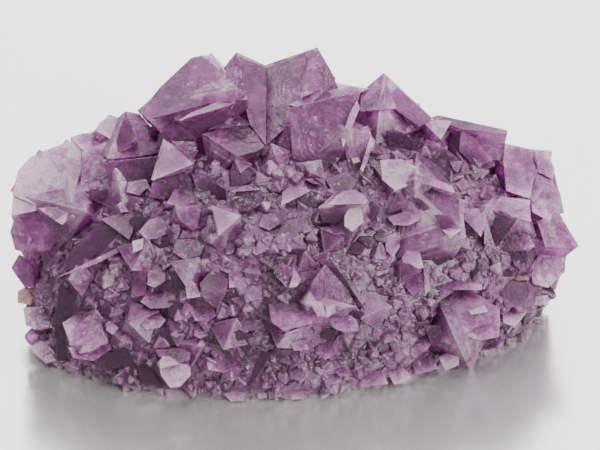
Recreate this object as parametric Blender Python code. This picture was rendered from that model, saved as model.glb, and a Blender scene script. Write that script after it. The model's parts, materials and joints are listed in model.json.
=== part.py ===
"""A cluster of violet fluorite octahedra, grown together and broken off with a flat underside.

The model is in metres, +Z up, with +X across the cluster and -Y towards the viewer. Sizes below are
in millimetres, and MM turns them into metres.
"""
import cmath
import math
import random
from dataclasses import dataclass

import bmesh
import bpy
from mathutils import Quaternion, Vector
from mathutils.bvhtree import BVHTree

MM = 0.001
NODE_NAME = "fluorite_cluster"

# The front view that the main crystals are set out in: distances across and up are millimetres
# at the aim point, seen from the viewer's side and from above.
SIGHT_DISTANCE = 320.0
SIGHT_ELEVATION = math.radians(28.0)
SIGHT_AIM = Vector((0.0, 0.0, 18.0))

# The body that the crystals grow from: its rim seen from above, with the rim's height.
RIM = (
    (0.0, -20.0, 1.5),
    (-20.0, -19.0, 1.5),
    (-33.5, -13.5, 2.0),
    (-39.5, -5.5, 3.0),
    (-41.0, 8.0, 3.5),
    (-33.0, 20.0, 4.0),
    (-17.0, 25.0, 3.0),
    (2.0, 26.0, 3.0),
    (20.0, 24.0, 4.0),
    (33.0, 17.0, 5.0),
    (39.0, 8.0, 6.5),
    (36.0, -1.5, 6.5),
    (28.5, -7.5, 6.0),
    (16.5, -14.0, 3.5),
)
CROWN = Vector((1.0, 8.0, 30.5))
RIM_STEPS = 2
DOME_RINGS = 6
DOME_SQUARENESS = 2.3
FOOT_SCALE = 0.93
CUT_DEPTH = 6.0
CUT_BLOCK = Vector((140.0, 120.0, 40.0))

# Crystals scattered over the body between the main ones keep clear of those, and lean as they like.
SEED = 20
CLEAR_OF_MAIN = 0.45
LEAN = math.radians(50.0)

# Small crystals in line with a main crystal, which step its edges.
STEP_COUNT = 2
STEP_REACH = (0.3, 0.55)
STEP_RISE = (0.03, 0.09)

VIOLET = (0.26, 0.13, 0.29, 1.0)
ROUGHNESS = 0.35


@dataclass
class Crystal:
    """A main octahedron, set by the three corners of one of its faces in the front view."""

    name: str
    corners: tuple
    leans: str
    proud: float = -2.0


@dataclass
class Companion:
    """An octahedron in line with a main one, slid along its set face and raised off it."""

    of: str
    to_second: float
    to_third: float
    rise: float
    scale: float


@dataclass
class Scatter:
    """Octahedra scattered over one side of the body, kept apart and sunk by shares of their reach."""

    tries: int
    reach: tuple
    spacing: float
    sunk: float
    lowest: float
    covers: callable


# Large crystals on the back, then coarse ones there, and finer ones on the crown and the front.
SCATTERS = (
    Scatter(500, (5.0, 8.5), 0.85, 0.5, 3.0, lambda normal: normal.y > 0.25),
    Scatter(3500, (3.2, 5.6), 0.55, 0.2, 0.0, lambda normal: normal.y >= -0.35),
    Scatter(1500, (3.0, 4.6), 0.5, 0.2, 0.0, lambda normal: normal.z > 0.75),
    Scatter(5500, (2.1, 3.5), 0.62, 0.2, 0.0, lambda normal: normal.y < -0.35),
)

LEANING = {"up": (0, 1), "down": (0, -1), "left": (-1, 0), "right": (1, 0)}

CRYSTALS = (
    Crystal("left_ridge", ((-15.1, 25.6), (-24.2, 17.0), (-10.8, 19.3)), "up", -3.0),
    Crystal("point", ((-9.4, 25.6), (-7.9, 17.1), (-2.2, 22.5)), "up", -3.0),
    Crystal("summit", ((2.6, 26.3), (-7.5, 23.2), (-1.2, 15.8)), "up", -2.2),
    Crystal("dark_block", ((-2.1, 17.7), (9.2, 20.3), (5.7, 9.1)), "down", -0.8),
    Crystal("right_peak", ((12.4, 22.6), (11.1, 11.8), (20.4, 15.4)), "right", -3.0),
    Crystal("brown_glass", ((7.2, 14.0), (11.2, 14.6), (9.0, 5.5)), "down", -0.5),
    Crystal("pale_chip", ((18.0, 15.8), (23.5, 15.3), (21.2, 12.7)), "up", -0.5),
    Crystal("right_shoulder", ((21.8, 15.8), (31.2, 14.2), (26.4, 8.5)), "up", -2.0),
    Crystal("right_flank", ((28.8, 11.9), (37.7, 11.1), (33.0, 5.3)), "up", -2.5),
    Crystal("right_dark", ((27.6, 2.8), (32.3, 1.0), (29.4, -3.4)), "down", -0.3),
    Crystal("pale_slope", ((16.2, 6.2), (24.6, 3.4), (24.5, -1.8)), "up", -2.2),
    Crystal("magenta", ((17.7, 11.2), (24.3, 4.5), (16.8, 6.7)), "up", -1.8),
    Crystal("dark_arrow", ((12.6, 14.6), (18.4, 12.3), (15.2, 10.2)), "down", 0.8),
    Crystal("lilac_patch", ((10.8, 9.0), (16.8, 9.8), (13.9, 4.9)), "up", -0.2),
    Crystal("grey_lozenge", ((-14.7, 13.6), (-9.4, 10.2), (-7.5, 15.2)), "up", 0.2),
    Crystal("lozenge_side", ((-8.4, 15.6), (-9.6, 10.4), (-5.2, 11.7)), "up", 0.0),
    Crystal("dark_top", ((-20.5, 14.4), (-15.1, 15.4), (-15.6, 9.3)), "up", -0.4),
    Crystal("frosted_triangle", ((-20.5, 12.9), (-15.9, 9.1), (-22.2, 6.7)), "up", 1.0),
    Crystal("left_tip", ((-26.1, 17.0), (-28.5, 9.8), (-20.9, 10.7)), "up", -0.6),
    Crystal("left_shoulder", ((-34.8, 13.2), (-28.0, 13.8), (-31.5, 3.0)), "up", -2.5),
    Crystal("shoulder_point", ((-31.2, 13.6), (-28.8, 16.7), (-26.4, 15.8)), "up", -1.0),
    Crystal("pale_left", ((-43.4, 1.2), (-35.1, 13.0), (-33.3, 3.3)), "up", -4.5),
    Crystal("pale_left_side", ((-43.4, 5.1), (-38.8, 11.3), (-36.4, 4.0)), "up", -3.5),
    Crystal("grey_plane", ((-31.2, 2.0), (-25.4, -2.2), (-37.2, -7.8)), "down", -2.5),
    Crystal("left_under", ((-42.9, 1.0), (-35.7, -0.2), (-39.6, -5.6)), "down", -1.0),
    Crystal("left_edge", ((-43.6, -1.6), (-39.0, 1.4), (-40.2, -6.0)), "up", -3.0),
    Crystal("frosted_centre", ((-13.1, 2.8), (-8.8, 1.4), (-12.2, -1.7)), "up", 1.2),
    Crystal("bright_wedge", ((2.7, 2.6), (10.1, 3.2), (6.8, 6.3)), "up", -0.2),
    Crystal("pale_violet", ((19.5, -8.4), (29.7, -12.2), (22.8, -16.8)), "up", -1.2),
    Crystal("right_bead", ((30.4, -12.6), (34.7, -12.6), (32.6, -8.7)), "up", 0.0),
    Crystal("right_low", ((34.2, -7.1), (39.9, -4.0), (38.4, -9.8)), "down", -1.2),
    Crystal("right_edge", ((38.0, 8.2), (39.6, 1.8), (34.8, 3.8)), "right", -3.0),
    Crystal("right_tip", ((38.0, 3.0), (41.5, -3.1), (34.2, -2.2)), "up", -2.5),
    Crystal("low_left", ((-35.7, -14.6), (-30.3, -12.4), (-32.7, -19.1)), "up", -0.6),
    Crystal("low_left_front", ((-21.3, -20.6), (-16.2, -21.4), (-19.5, -24.4)), "down", -0.2),
    Crystal("tent", ((3.8, -5.6), (0.6, -11.7), (8.4, -12.2)), "up", -0.8),
    Crystal("tent_side", ((9.0, -14.0), (13.5, -12.0), (11.7, -15.9)), "down", 0.0),
    Crystal("dark_dish", ((-15.0, -10.2), (-10.8, -9.8), (-13.2, -6.8)), "up", 0.2),
    Crystal("grey_flake", ((-25.5, -11.1), (-21.0, -12.8), (-25.5, -14.4)), "up", 0.2),
    Crystal("small_beak", ((-18.4, 2.0), (-14.8, 3.0), (-16.0, -1.2)), "down", 0.6),
    Crystal("low_right_lump", ((12.4, -21.2), (16.8, -20.6), (14.6, -23.2)), "up", 0.0),
    Crystal("left_dark", ((-27.5, 8.5), (-21.5, 6.0), (-26.0, 1.5)), "up", -0.4),
    Crystal("v_notch", ((-3.6, -6.7), (-1.0, -6.7), (-2.2, -9.5)), "down", 0.8),
    Crystal("below_wedge", ((6.0, 2.2), (9.2, 2.4), (7.6, -1.1)), "up", 0.4),
    Crystal("thin_facet", ((3.0, -0.4), (6.0, 0.0), (6.6, -1.8)), "up", 0.4),
    Crystal("dark_dart", ((15.0, -5.5), (18.0, -6.9), (15.0, -8.6)), "down", 0.6),
    Crystal("left_fan", ((-34.5, -8.2), (-30.6, -7.9), (-32.8, -10.8)), "down", 0.4),
    Crystal("summit_chip", ((-3.8, 10.5), (-1.2, 11.0), (-2.6, 7.8)), "down", 1.0),
    Crystal("centre_beak", ((0.4, 9.4), (3.2, 9.8), (1.5, 7.8)), "up", 1.0),
    Crystal("lozenge_chip", ((-9.8, 10.0), (-7.2, 9.2), (-8.9, 7.8)), "up", 1.2),
    Crystal("right_round", ((29.5, -9.6), (34.5, -8.6), (32.5, -12.8)), "up", 0.0),
    Crystal("right_neighbour", ((24.5, 3.2), (27.6, 2.8), (25.8, -1.4)), "up", -0.2),
    Crystal("mid_violet", ((-19.5, -5.5), (-15.0, -4.8), (-17.0, -9.2)), "up", 0.0),
    Crystal("mid_left", ((-27.5, -3.2), (-22.5, -2.0), (-25.0, -6.8)), "up", -0.4),
    Crystal("low_mid", ((-5.0, -14.5), (-0.5, -14.0), (-3.5, -18.2)), "up", -0.4),
    Crystal("low_mid_left", ((-13.8, -14.8), (-9.4, -13.8), (-11.4, -18.6)), "up", -0.4),
    Crystal("sandy_face", ((-4.4, -11.6), (1.0, -11.8), (-2.6, -15.6)), "up", -0.6),
)

COMPANIONS = (
    Companion("left_ridge", -0.12, 0.26, 1.3, 1.0),
    Companion("summit", 0.08, 0.42, -0.1, 0.95),
    Companion("summit", 0.3, 0.3, 0.25, 0.6),
    Companion("dark_block", -0.3, 0.25, -0.15, 0.9),
    Companion("right_peak", 0.3, 0.15, -0.2, 0.8),
    Companion("right_peak", 0.35, 0.4, 0.3, 0.5),
    Companion("right_shoulder", -0.2, 0.35, -0.15, 0.8),
    Companion("right_flank", 0.0, 0.35, -0.2, 0.75),
    Companion("pale_slope", -0.1, -0.3, 0.3, 0.7),
    Companion("left_shoulder", -0.15, 0.3, 0.25, 0.8),
    Companion("pale_left", -0.2, 0.2, -0.2, 0.9),
    Companion("grey_plane", 0.1, 0.3, -0.2, 0.8),
    Companion("pale_violet", 0.3, -0.2, 0.3, 0.7),
    Companion("left_tip", -0.25, 0.3, 0.2, 0.75),
)


def clear_scene():
    """Remove what the scene holds."""
    for thing in list(bpy.data.objects):
        bpy.data.objects.remove(thing, do_unlink=True)


def violet_fluorite():
    """Return the material of the whole cluster."""
    material = bpy.data.materials.new("violet_fluorite")
    material.use_nodes = True
    shader = material.node_tree.nodes["Principled BSDF"]
    shader.inputs["Base Color"].default_value = VIOLET
    shader.inputs["Roughness"].default_value = ROUGHNESS
    shader.inputs["Metallic"].default_value = 0.0
    return material


def object_from(bm, name):
    """Make a linked object from a bmesh in millimetres, in metres."""
    bmesh.ops.scale(bm, vec=(MM, MM, MM), verts=bm.verts)
    bmesh.ops.recalc_face_normals(bm, faces=bm.faces)
    mesh = bpy.data.meshes.new(name)
    bm.to_mesh(mesh)
    bm.free()
    thing = bpy.data.objects.new(name, mesh)
    bpy.context.collection.objects.link(thing)
    return thing


def smooth_loop(points, steps):
    """Return a closed smooth curve through the points, with steps to each stretch."""
    loop = []
    count = len(points)
    for index in range(count):
        p0, p1, p2, p3 = (Vector(points[(index + k - 1) % count]) for k in range(4))
        for step in range(steps):
            t = step / steps
            loop.append(
                0.5 * (2 * p1 + (p2 - p0) * t + (2 * p0 - 5 * p1 + 4 * p2 - p3) * t * t
                       + (3 * p1 - p0 - 3 * p2 + p3) * t * t * t)
            )
    return loop


def body_mesh():
    """Build the low domed body that carries the crystals, reaching below the cut."""
    bm = bmesh.new()
    rim = smooth_loop(RIM, RIM_STEPS)
    rings = [[Vector((p.x * FOOT_SCALE, p.y * FOOT_SCALE, -CUT_DEPTH)) for p in rim]]
    for ring in range(DOME_RINGS):
        angle = math.pi / 2 * ring / DOME_RINGS
        out = math.cos(angle) ** (2 / DOME_SQUARENESS)
        up = math.sin(angle) ** (2 / DOME_SQUARENESS)
        rings.append([
            Vector((CROWN.x + (p.x - CROWN.x) * out, CROWN.y + (p.y - CROWN.y) * out,
                    p.z + (CROWN.z - p.z) * up))
            for p in rim
        ])
    loops = [[bm.verts.new(p) for p in ring] for ring in rings]
    for low, high in zip(loops, loops[1:]):
        for index in range(len(low)):
            after = (index + 1) % len(low)
            bm.faces.new((low[index], low[after], high[after], high[index]))
    crown = bm.verts.new(CROWN)
    foot = bm.verts.new((CROWN.x, CROWN.y, -CUT_DEPTH))
    for index in range(len(rim)):
        after = (index + 1) % len(rim)
        bm.faces.new((loops[-1][index], loops[-1][after], crown))
        bm.faces.new((loops[0][after], loops[0][index], foot))
    bmesh.ops.triangulate(bm, faces=bm.faces)
    bmesh.ops.recalc_face_normals(bm, faces=bm.faces)
    return bm


def sight_point(across, up, towards):
    """Return the point seen at across and up in the front view, at a depth towards the viewer."""
    scale = (SIGHT_DISTANCE - towards) / SIGHT_DISTANCE
    return SIGHT_AIM + sight_vector(across * scale, up * scale, towards)


def sight_vector(across, up, towards):
    """Turn a vector of the front view into the model's frame."""
    sine = math.sin(SIGHT_ELEVATION)
    cosine = math.cos(SIGHT_ELEVATION)
    return Vector((across, up * sine - towards * cosine, up * cosine + towards * sine))


def depth_of_body(tree, across, up):
    """Return how far towards the viewer the body's surface is at a place of the front view."""
    eye = sight_point(0.0, 0.0, SIGHT_DISTANCE)
    beyond = sight_point(across, up, -SIGHT_DISTANCE)
    hit = tree.ray_cast(eye, beyond - eye)[0]
    if hit is None:
        hit = tree.find_nearest(sight_point(across, up, 0.0))[0]
    towards = sight_vector(0.0, 0.0, 1.0)
    return (hit - SIGHT_AIM).dot(towards)


def arms_from_face(corners, leans):
    """Work out an octahedron from three corners of a face in the front view.

    The seen corners of a regular octahedron obey 3 O O - 2 O (A+B+C) + (AA+BB+CC) = 0 for its
    middle O. The two answers lean opposite ways, and leans picks one.
    """
    a, b, c = (complex(*corner) for corner in corners)
    total = a + b + c
    squares = a * a + b * b + c * c
    root = cmath.sqrt(total * total - 3 * squares)
    want = complex(*LEANING[leans])
    middles = [(total + sign * root) / 3 for sign in (1, -1)]
    middle = max(middles, key=lambda o: ((total / 3 - o) * want.conjugate()).real)
    flat = [corner - middle for corner in (a, b, c)]
    reach = math.sqrt(sum(abs(arm) ** 2 for arm in flat) / 2)
    deepest = max(range(3), key=lambda k: reach ** 2 - abs(flat[k]) ** 2)
    depths = [0.0, 0.0, 0.0]
    depths[deepest] = math.sqrt(reach ** 2 - abs(flat[deepest]) ** 2)
    for k in range(3):
        if k != deepest:
            depths[k] = -(flat[k] * flat[deepest].conjugate()).real / depths[deepest]
    if sum(depths) < 0:
        depths = [-depth for depth in depths]
    arms = [sight_vector(arm.real, arm.imag, depth) for arm, depth in zip(flat, depths)]
    return middle, [arm.normalized() for arm in arms], reach


def add_octahedron(bm, middle, directions, reach):
    """Add a closed octahedron with its corners at reach along and against three directions."""
    pairs = [
        [bm.verts.new(middle + direction * reach), bm.verts.new(middle - direction * reach)]
        for direction in directions
    ]
    for first in (0, 1):
        for second in (0, 1):
            for third in (0, 1):
                face = [pairs[0][first], pairs[1][second], pairs[2][third]]
                bm.faces.new(face)


def main_crystals(bm, tree, rng):
    """Add each main crystal and those in line with it, and return where they are."""
    placed = []
    for crystal in CRYSTALS:
        middle, directions, reach = arms_from_face(crystal.corners, crystal.leans)
        towards = depth_of_body(tree, middle.real, middle.imag) + crystal.proud
        reach *= (SIGHT_DISTANCE - towards) / SIGHT_DISTANCE
        place = sight_point(middle.real, middle.imag, towards)
        placed.append((place, directions, reach))
        placed += [
            beside(companion, place, directions, reach)
            for companion in COMPANIONS if companion.of == crystal.name
        ]
    for place, directions, reach in placed:
        add_octahedron(bm, place, directions, reach)
        add_steps(bm, place, directions, reach, rng)
    return placed


def beside(companion, place, directions, reach):
    """Return the place, directions and reach of an octahedron in line with a main one."""
    first, second, third = directions
    slide = (second - first) * companion.to_second + (third - first) * companion.to_third
    rise = (first + second + third).normalized() * companion.rise
    return place + slide * reach + rise, directions, reach * companion.scale


def add_steps(bm, place, directions, reach, rng):
    """Add small octahedra that stand a little proud of a crystal's faces, in line with it."""
    for _ in range(STEP_COUNT):
        size = rng.uniform(*STEP_REACH)
        shares = [rng.random() * rng.choice((-1, 1)) for _ in directions]
        spread = (1 + rng.uniform(*STEP_RISE) - size) / sum(abs(share) for share in shares)
        offset = sum((axis * share for axis, share in zip(directions, shares)), Vector())
        add_octahedron(bm, place + offset * spread * reach, directions, reach * size)


def near_main(place, placed, reach):
    """Tell whether a small crystal would be lost in a main one or stand on its faces."""
    for middle, directions, main_reach in placed:
        offset = place - middle
        if sum(abs(offset.dot(axis)) for axis in directions) < main_reach + CLEAR_OF_MAIN * reach:
            return True
    return False


def random_place(faces, areas, rng):
    """Return a random place on the body, and the face that it lies on."""
    face = rng.choices(faces, areas)[0]
    first, second = sorted((rng.random(), rng.random()))
    a, b, c = (vert.co for vert in face.verts)
    return a * first + b * (second - first) + c * (1 - second), face


def crowded(middle, reach, others, spacing):
    """Tell whether a crystal would stand too close to one of the others."""
    return any((middle - other).length < spacing * (reach + size) for other, _, size in others)


def outward_turn(normal, rng):
    """Return three directions of a crystal that stands roughly upright on the body."""
    heading = Quaternion((0, 0, 1), rng.uniform(0, math.tau))
    tilt = Quaternion((1, 0, 0), rng.uniform(0, LEAN))
    spin = Quaternion((0, 0, 1), rng.uniform(0, math.tau))
    turn = normal.to_track_quat("Z", "Y") @ heading @ tilt @ spin
    return [turn @ Vector(axis) for axis in ((1, 0, 0), (0, 1, 0), (0, 0, 1))]


def scattered_crystals(bm, body, placed, rng):
    """Add the octahedra of every scatter, each turned about the way the body faces."""
    for scatter in SCATTERS:
        faces = [face for face in body.faces if scatter.covers(face.normal)]
        areas = [face.calc_area() for face in faces]
        added = []
        for _ in range(scatter.tries):
            place, face = random_place(faces, areas, rng)
            reach = rng.uniform(*scatter.reach)
            if place.z < scatter.lowest or near_main(place, placed, reach):
                continue
            middle = place - face.normal * reach * scatter.sunk
            if crowded(middle, reach, added, scatter.spacing):
                continue
            added.append((middle, outward_turn(face.normal, rng), reach))
        for middle, directions, reach in added:
            add_octahedron(bm, middle, directions, reach)
        placed += added


def cutter_below():
    """Return the block below the flat underside."""
    bm = bmesh.new()
    bmesh.ops.create_cube(bm, size=1.0)
    bmesh.ops.scale(bm, vec=CUT_BLOCK, verts=bm.verts)
    bmesh.ops.translate(bm, vec=(0.0, 0.0, -CUT_BLOCK.z / 2), verts=bm.verts)
    return hidden(object_from(bm, "cut_below"))


def hidden(thing):
    """Mark an object as a guide that isn't part of the cluster."""
    thing.hide_render = True
    thing.display_type = "WIRE"
    return thing


def join(target, other, operation, overlaps_itself):
    """Add a Boolean with another object to the target."""
    boolean = target.modifiers.new(other.name, "BOOLEAN")
    boolean.operation = operation
    boolean.object = other
    boolean.use_self = overlaps_itself


def solid_only(thing):
    """Apply the joins and keep the outside shell, so that no gap between crystals stays sealed."""
    evaluated = thing.evaluated_get(bpy.context.evaluated_depsgraph_get())
    mesh = bpy.data.meshes.new_from_object(evaluated)
    bm = bmesh.new()
    bm.from_mesh(mesh)
    bm.verts.ensure_lookup_table()
    outside = max(shells(bm), key=len)
    inner = [vert for vert in bm.verts if vert not in outside]
    bmesh.ops.delete(bm, geom=inner, context="VERTS")
    bmesh.ops.triangulate(bm, faces=bm.faces)
    bm.to_mesh(mesh)
    bm.free()
    thing.modifiers.clear()
    thing.data = mesh


def shells(bm):
    """Return the sets of vertices that hang together."""
    unseen = set(bm.verts)
    found = []
    while unseen:
        shell = set()
        front = [unseen.pop()]
        while front:
            vert = front.pop()
            shell.add(vert)
            for edge in vert.link_edges:
                other = edge.other_vert(vert)
                if other in unseen:
                    unseen.remove(other)
                    front.append(other)
        found.append(shell)
    return found


def main():
    """Build the cluster."""
    clear_scene()
    rng = random.Random(SEED)
    body = body_mesh()
    tree = BVHTree.FromBMesh(body)
    crystals = bmesh.new()
    placed = main_crystals(crystals, tree, rng)
    scattered_crystals(crystals, body, placed, rng)
    growth = hidden(object_from(crystals, "growth"))
    cluster = object_from(body, NODE_NAME)
    cluster.data.materials.append(violet_fluorite())
    join(cluster, growth, "UNION", True)
    join(cluster, cutter_below(), "DIFFERENCE", False)
    solid_only(cluster)


main()
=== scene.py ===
"""Looks of a cluster of violet fluorite octahedra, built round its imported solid.

The cluster is grown again from the same main crystals as the solid. Flat faces and many finer crystals
stand between them, and a node material follows each crystal's own faces. Main crystals are set out in
millimetres at the point that the camera aims at, and flat faces by their places in the camera's picture.
MM turns millimetres into metres.
"""

import cmath
import json
import logging
import math
import random
from collections.abc import Callable
from dataclasses import dataclass, field
from enum import Enum

import bmesh
import bpy
from mathutils import Matrix, Vector
from mathutils.bvhtree import BVHTree

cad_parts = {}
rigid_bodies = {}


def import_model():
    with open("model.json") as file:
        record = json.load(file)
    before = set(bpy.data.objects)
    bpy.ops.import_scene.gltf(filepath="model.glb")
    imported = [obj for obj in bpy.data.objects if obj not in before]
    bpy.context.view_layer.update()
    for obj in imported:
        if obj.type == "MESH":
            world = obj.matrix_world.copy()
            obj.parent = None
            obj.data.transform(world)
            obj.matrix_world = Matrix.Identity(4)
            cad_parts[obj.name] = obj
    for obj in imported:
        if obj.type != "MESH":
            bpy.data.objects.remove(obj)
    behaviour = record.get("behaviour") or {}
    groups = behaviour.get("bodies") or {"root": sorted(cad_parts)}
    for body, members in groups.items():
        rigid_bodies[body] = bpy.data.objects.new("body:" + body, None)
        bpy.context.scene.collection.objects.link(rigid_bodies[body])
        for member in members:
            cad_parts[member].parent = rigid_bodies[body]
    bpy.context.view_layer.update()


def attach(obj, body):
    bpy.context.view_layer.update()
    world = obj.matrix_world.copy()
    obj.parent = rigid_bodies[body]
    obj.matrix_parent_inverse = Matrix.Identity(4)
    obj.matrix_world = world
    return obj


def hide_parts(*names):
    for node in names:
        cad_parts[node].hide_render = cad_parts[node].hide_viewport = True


LOG = logging.getLogger("fluorite")
MM = 0.001
NODE_NAME = "fluorite_cluster"
FRONT = (0.0, -1.0, 0.0)
LOW_FRONT = (0.0, -0.94, -0.34)
BACK = (0.0, 1.0, 0.0)

Socket = bpy.types.NodeSocket
Place = tuple[float, float]
Span = tuple[float, float]
Triangles = list[list[Vector]]


class Lean(Enum):
    """The way a crystal's set face leans, seen in the front view."""

    UP = complex(0, 1)
    DOWN = complex(0, -1)
    LEFT = complex(-1, 0)
    RIGHT = complex(1, 0)


class Skin(Enum):
    """How a face looks: its tone from dark (-1) to pale (1), and how frosted it is (0 to 1)."""

    # The tones and frosts hold the light that each face shows as well as its own colour. DARK, DEEP and
    # DARK_GREY mostly darken faces turned from the light and holes and gaps between crystals: painted
    # shade. The frost of GREY and DARK_GREY greys a smooth face as a painted reflection of the pale room.
    VIOLET = (0.0, 0.05)
    DEEP = (-0.5, 0.0)
    DARK = (-0.95, 0.0)
    LILAC = (0.45, 0.05)
    SMOOTH = (-0.3, 0.08)
    PALE = (0.75, 0.1)
    MILKY = (1.1, 0.1)
    GREY = (-0.45, 0.3)
    HAZY = (0.5, 0.12)
    DARK_GREY = (-0.9, 0.2)
    FROSTED = (0.0, 1.0)
    GRAINY = (0.2, 0.4)
    SANDY = (0.6, 0.2)

    @property
    def tone(self) -> float:
        """Return how pale the face is."""
        return self.value[0]

    @property
    def frost(self) -> float:
        """Return how frosted the face is."""
        return self.value[1]


@dataclass(frozen=True)
class FrontView:
    """The view that the crystals are set out in, which is also the camera's."""

    distance: float = 320.0 * MM
    elevation: float = math.radians(28.0)
    aim: tuple[float, float, float] = (0.0, 0.0, 18.0 * MM)
    width: float = 90.0 * MM
    sensor: float = 36.0
    picture: tuple[int, int] = (600, 450)

    def vector(self, across: float, up: float, towards: float) -> Vector:
        """Turn a vector of the front view into the model's frame.

        Args:
            across: Part to the right.
            up: Part upwards in the picture.
            towards: Part towards the viewer.

        Returns:
            The same vector in the model's frame.
        """
        sine = math.sin(self.elevation)
        cosine = math.cos(self.elevation)
        return Vector((across, up * sine - towards * cosine, up * cosine + towards * sine))

    def point(self, across: float, up: float, towards: float) -> Vector:
        """Return the point seen at across and up, in metres at the aim, at a depth towards the viewer."""
        scale = self.closeness(towards)
        return Vector(self.aim) + self.vector(across * scale, up * scale, towards)

    def seen(self, corner: Place) -> Place:
        """Return how far across and up a place in the picture is, in metres at the aim."""
        scale = self.width / self.picture[0]
        return (corner[0] - self.picture[0] / 2) * scale, (self.picture[1] / 2 - corner[1]) * scale

    def closeness(self, towards: float) -> float:
        """Return the size of what is seen at a depth, against its size at the aim."""
        return (self.distance - towards) / self.distance

    def depth(self, tree: BVHTree, across: float, up: float) -> float:
        """Return how far towards the viewer a surface is at a place of the front view.

        Args:
            tree: The surface.
            across: Metres to the right, at the depth of the aim.
            up: Metres upwards, at the depth of the aim.

        Returns:
            The depth in metres from the aim towards the viewer.
        """
        eye = self.point(0.0, 0.0, self.distance)
        beyond = self.point(across, up, -self.distance)
        hit = tree.ray_cast(eye, beyond - eye)[0]
        if hit is None:
            hit = tree.find_nearest(self.point(across, up, 0.0))[0]
        return (hit - Vector(self.aim)).dot(self.vector(0.0, 0.0, 1.0))

    def camera(self) -> None:
        """Make the camera of this view."""
        data = bpy.data.cameras.new("front_view")
        data.sensor_width = self.sensor
        data.lens = self.sensor * self.distance / self.width
        camera = bpy.data.objects.new("front_view", data)
        bpy.context.collection.objects.link(camera)
        camera.location = self.point(0.0, 0.0, self.distance)
        camera.rotation_euler = (math.pi / 2 - self.elevation, 0.0, 0.0)
        bpy.context.scene.camera = camera


@dataclass(frozen=True)
class Crystal:
    """A main octahedron, set by the three corners of one of its faces in the front view.

    The corners are in millimetres, and proud is how far its middle stands off the body.
    """

    name: str
    corners: tuple[Place, ...]
    lean: Lean = Lean.UP
    proud: float = 0.0
    skin: Skin = Skin.VIOLET
    rest: Skin = Skin.VIOLET


@dataclass(frozen=True)
class Facet:
    """A flat face that shows in the front view, by its outline in the 600 by 450 picture.

    Its slopes say how far it comes towards the viewer for each step to the right and upwards, and
    proud is how far it stands off what it grows on, in millimetres.
    """

    name: str
    outline: tuple[Place, ...]
    slopes: Place = (0.0, -0.5)
    proud: float = 0.3
    skin: Skin = Skin.VIOLET
    rest: Skin = Skin.VIOLET


@dataclass(frozen=True)
class Companion:
    """An octahedron in line with a main one, slid along its set face and raised off it.

    The slides and the scale are shares of the main one's reach, and the rise is in millimetres.
    """

    of: str
    to_second: float
    to_third: float
    rise: float
    scale: float


@dataclass
class Grown:
    """A placed octahedron: its middle, its three directions, its reach and how its faces look."""

    middle: Vector
    directions: tuple[Vector, Vector, Vector]
    reach: float
    skin: Skin
    rest: Skin

    def turn(self) -> tuple[float, float, float, float]:
        """Return the turn from the model's frame to the crystal's, as a quaternion."""
        first, second, third = self.directions
        if first.cross(second).dot(third) < 0:
            second, third = third, second
        return tuple(Matrix((first, second, third)).transposed().to_quaternion())

    def triangles(self) -> Triangles:
        """Return the eight faces."""
        ends = [(self.middle + arm * self.reach, self.middle - arm * self.reach) for arm in self.directions]
        return [[a, b, c] for a in ends[0] for b in ends[1] for c in ends[2]]


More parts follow.
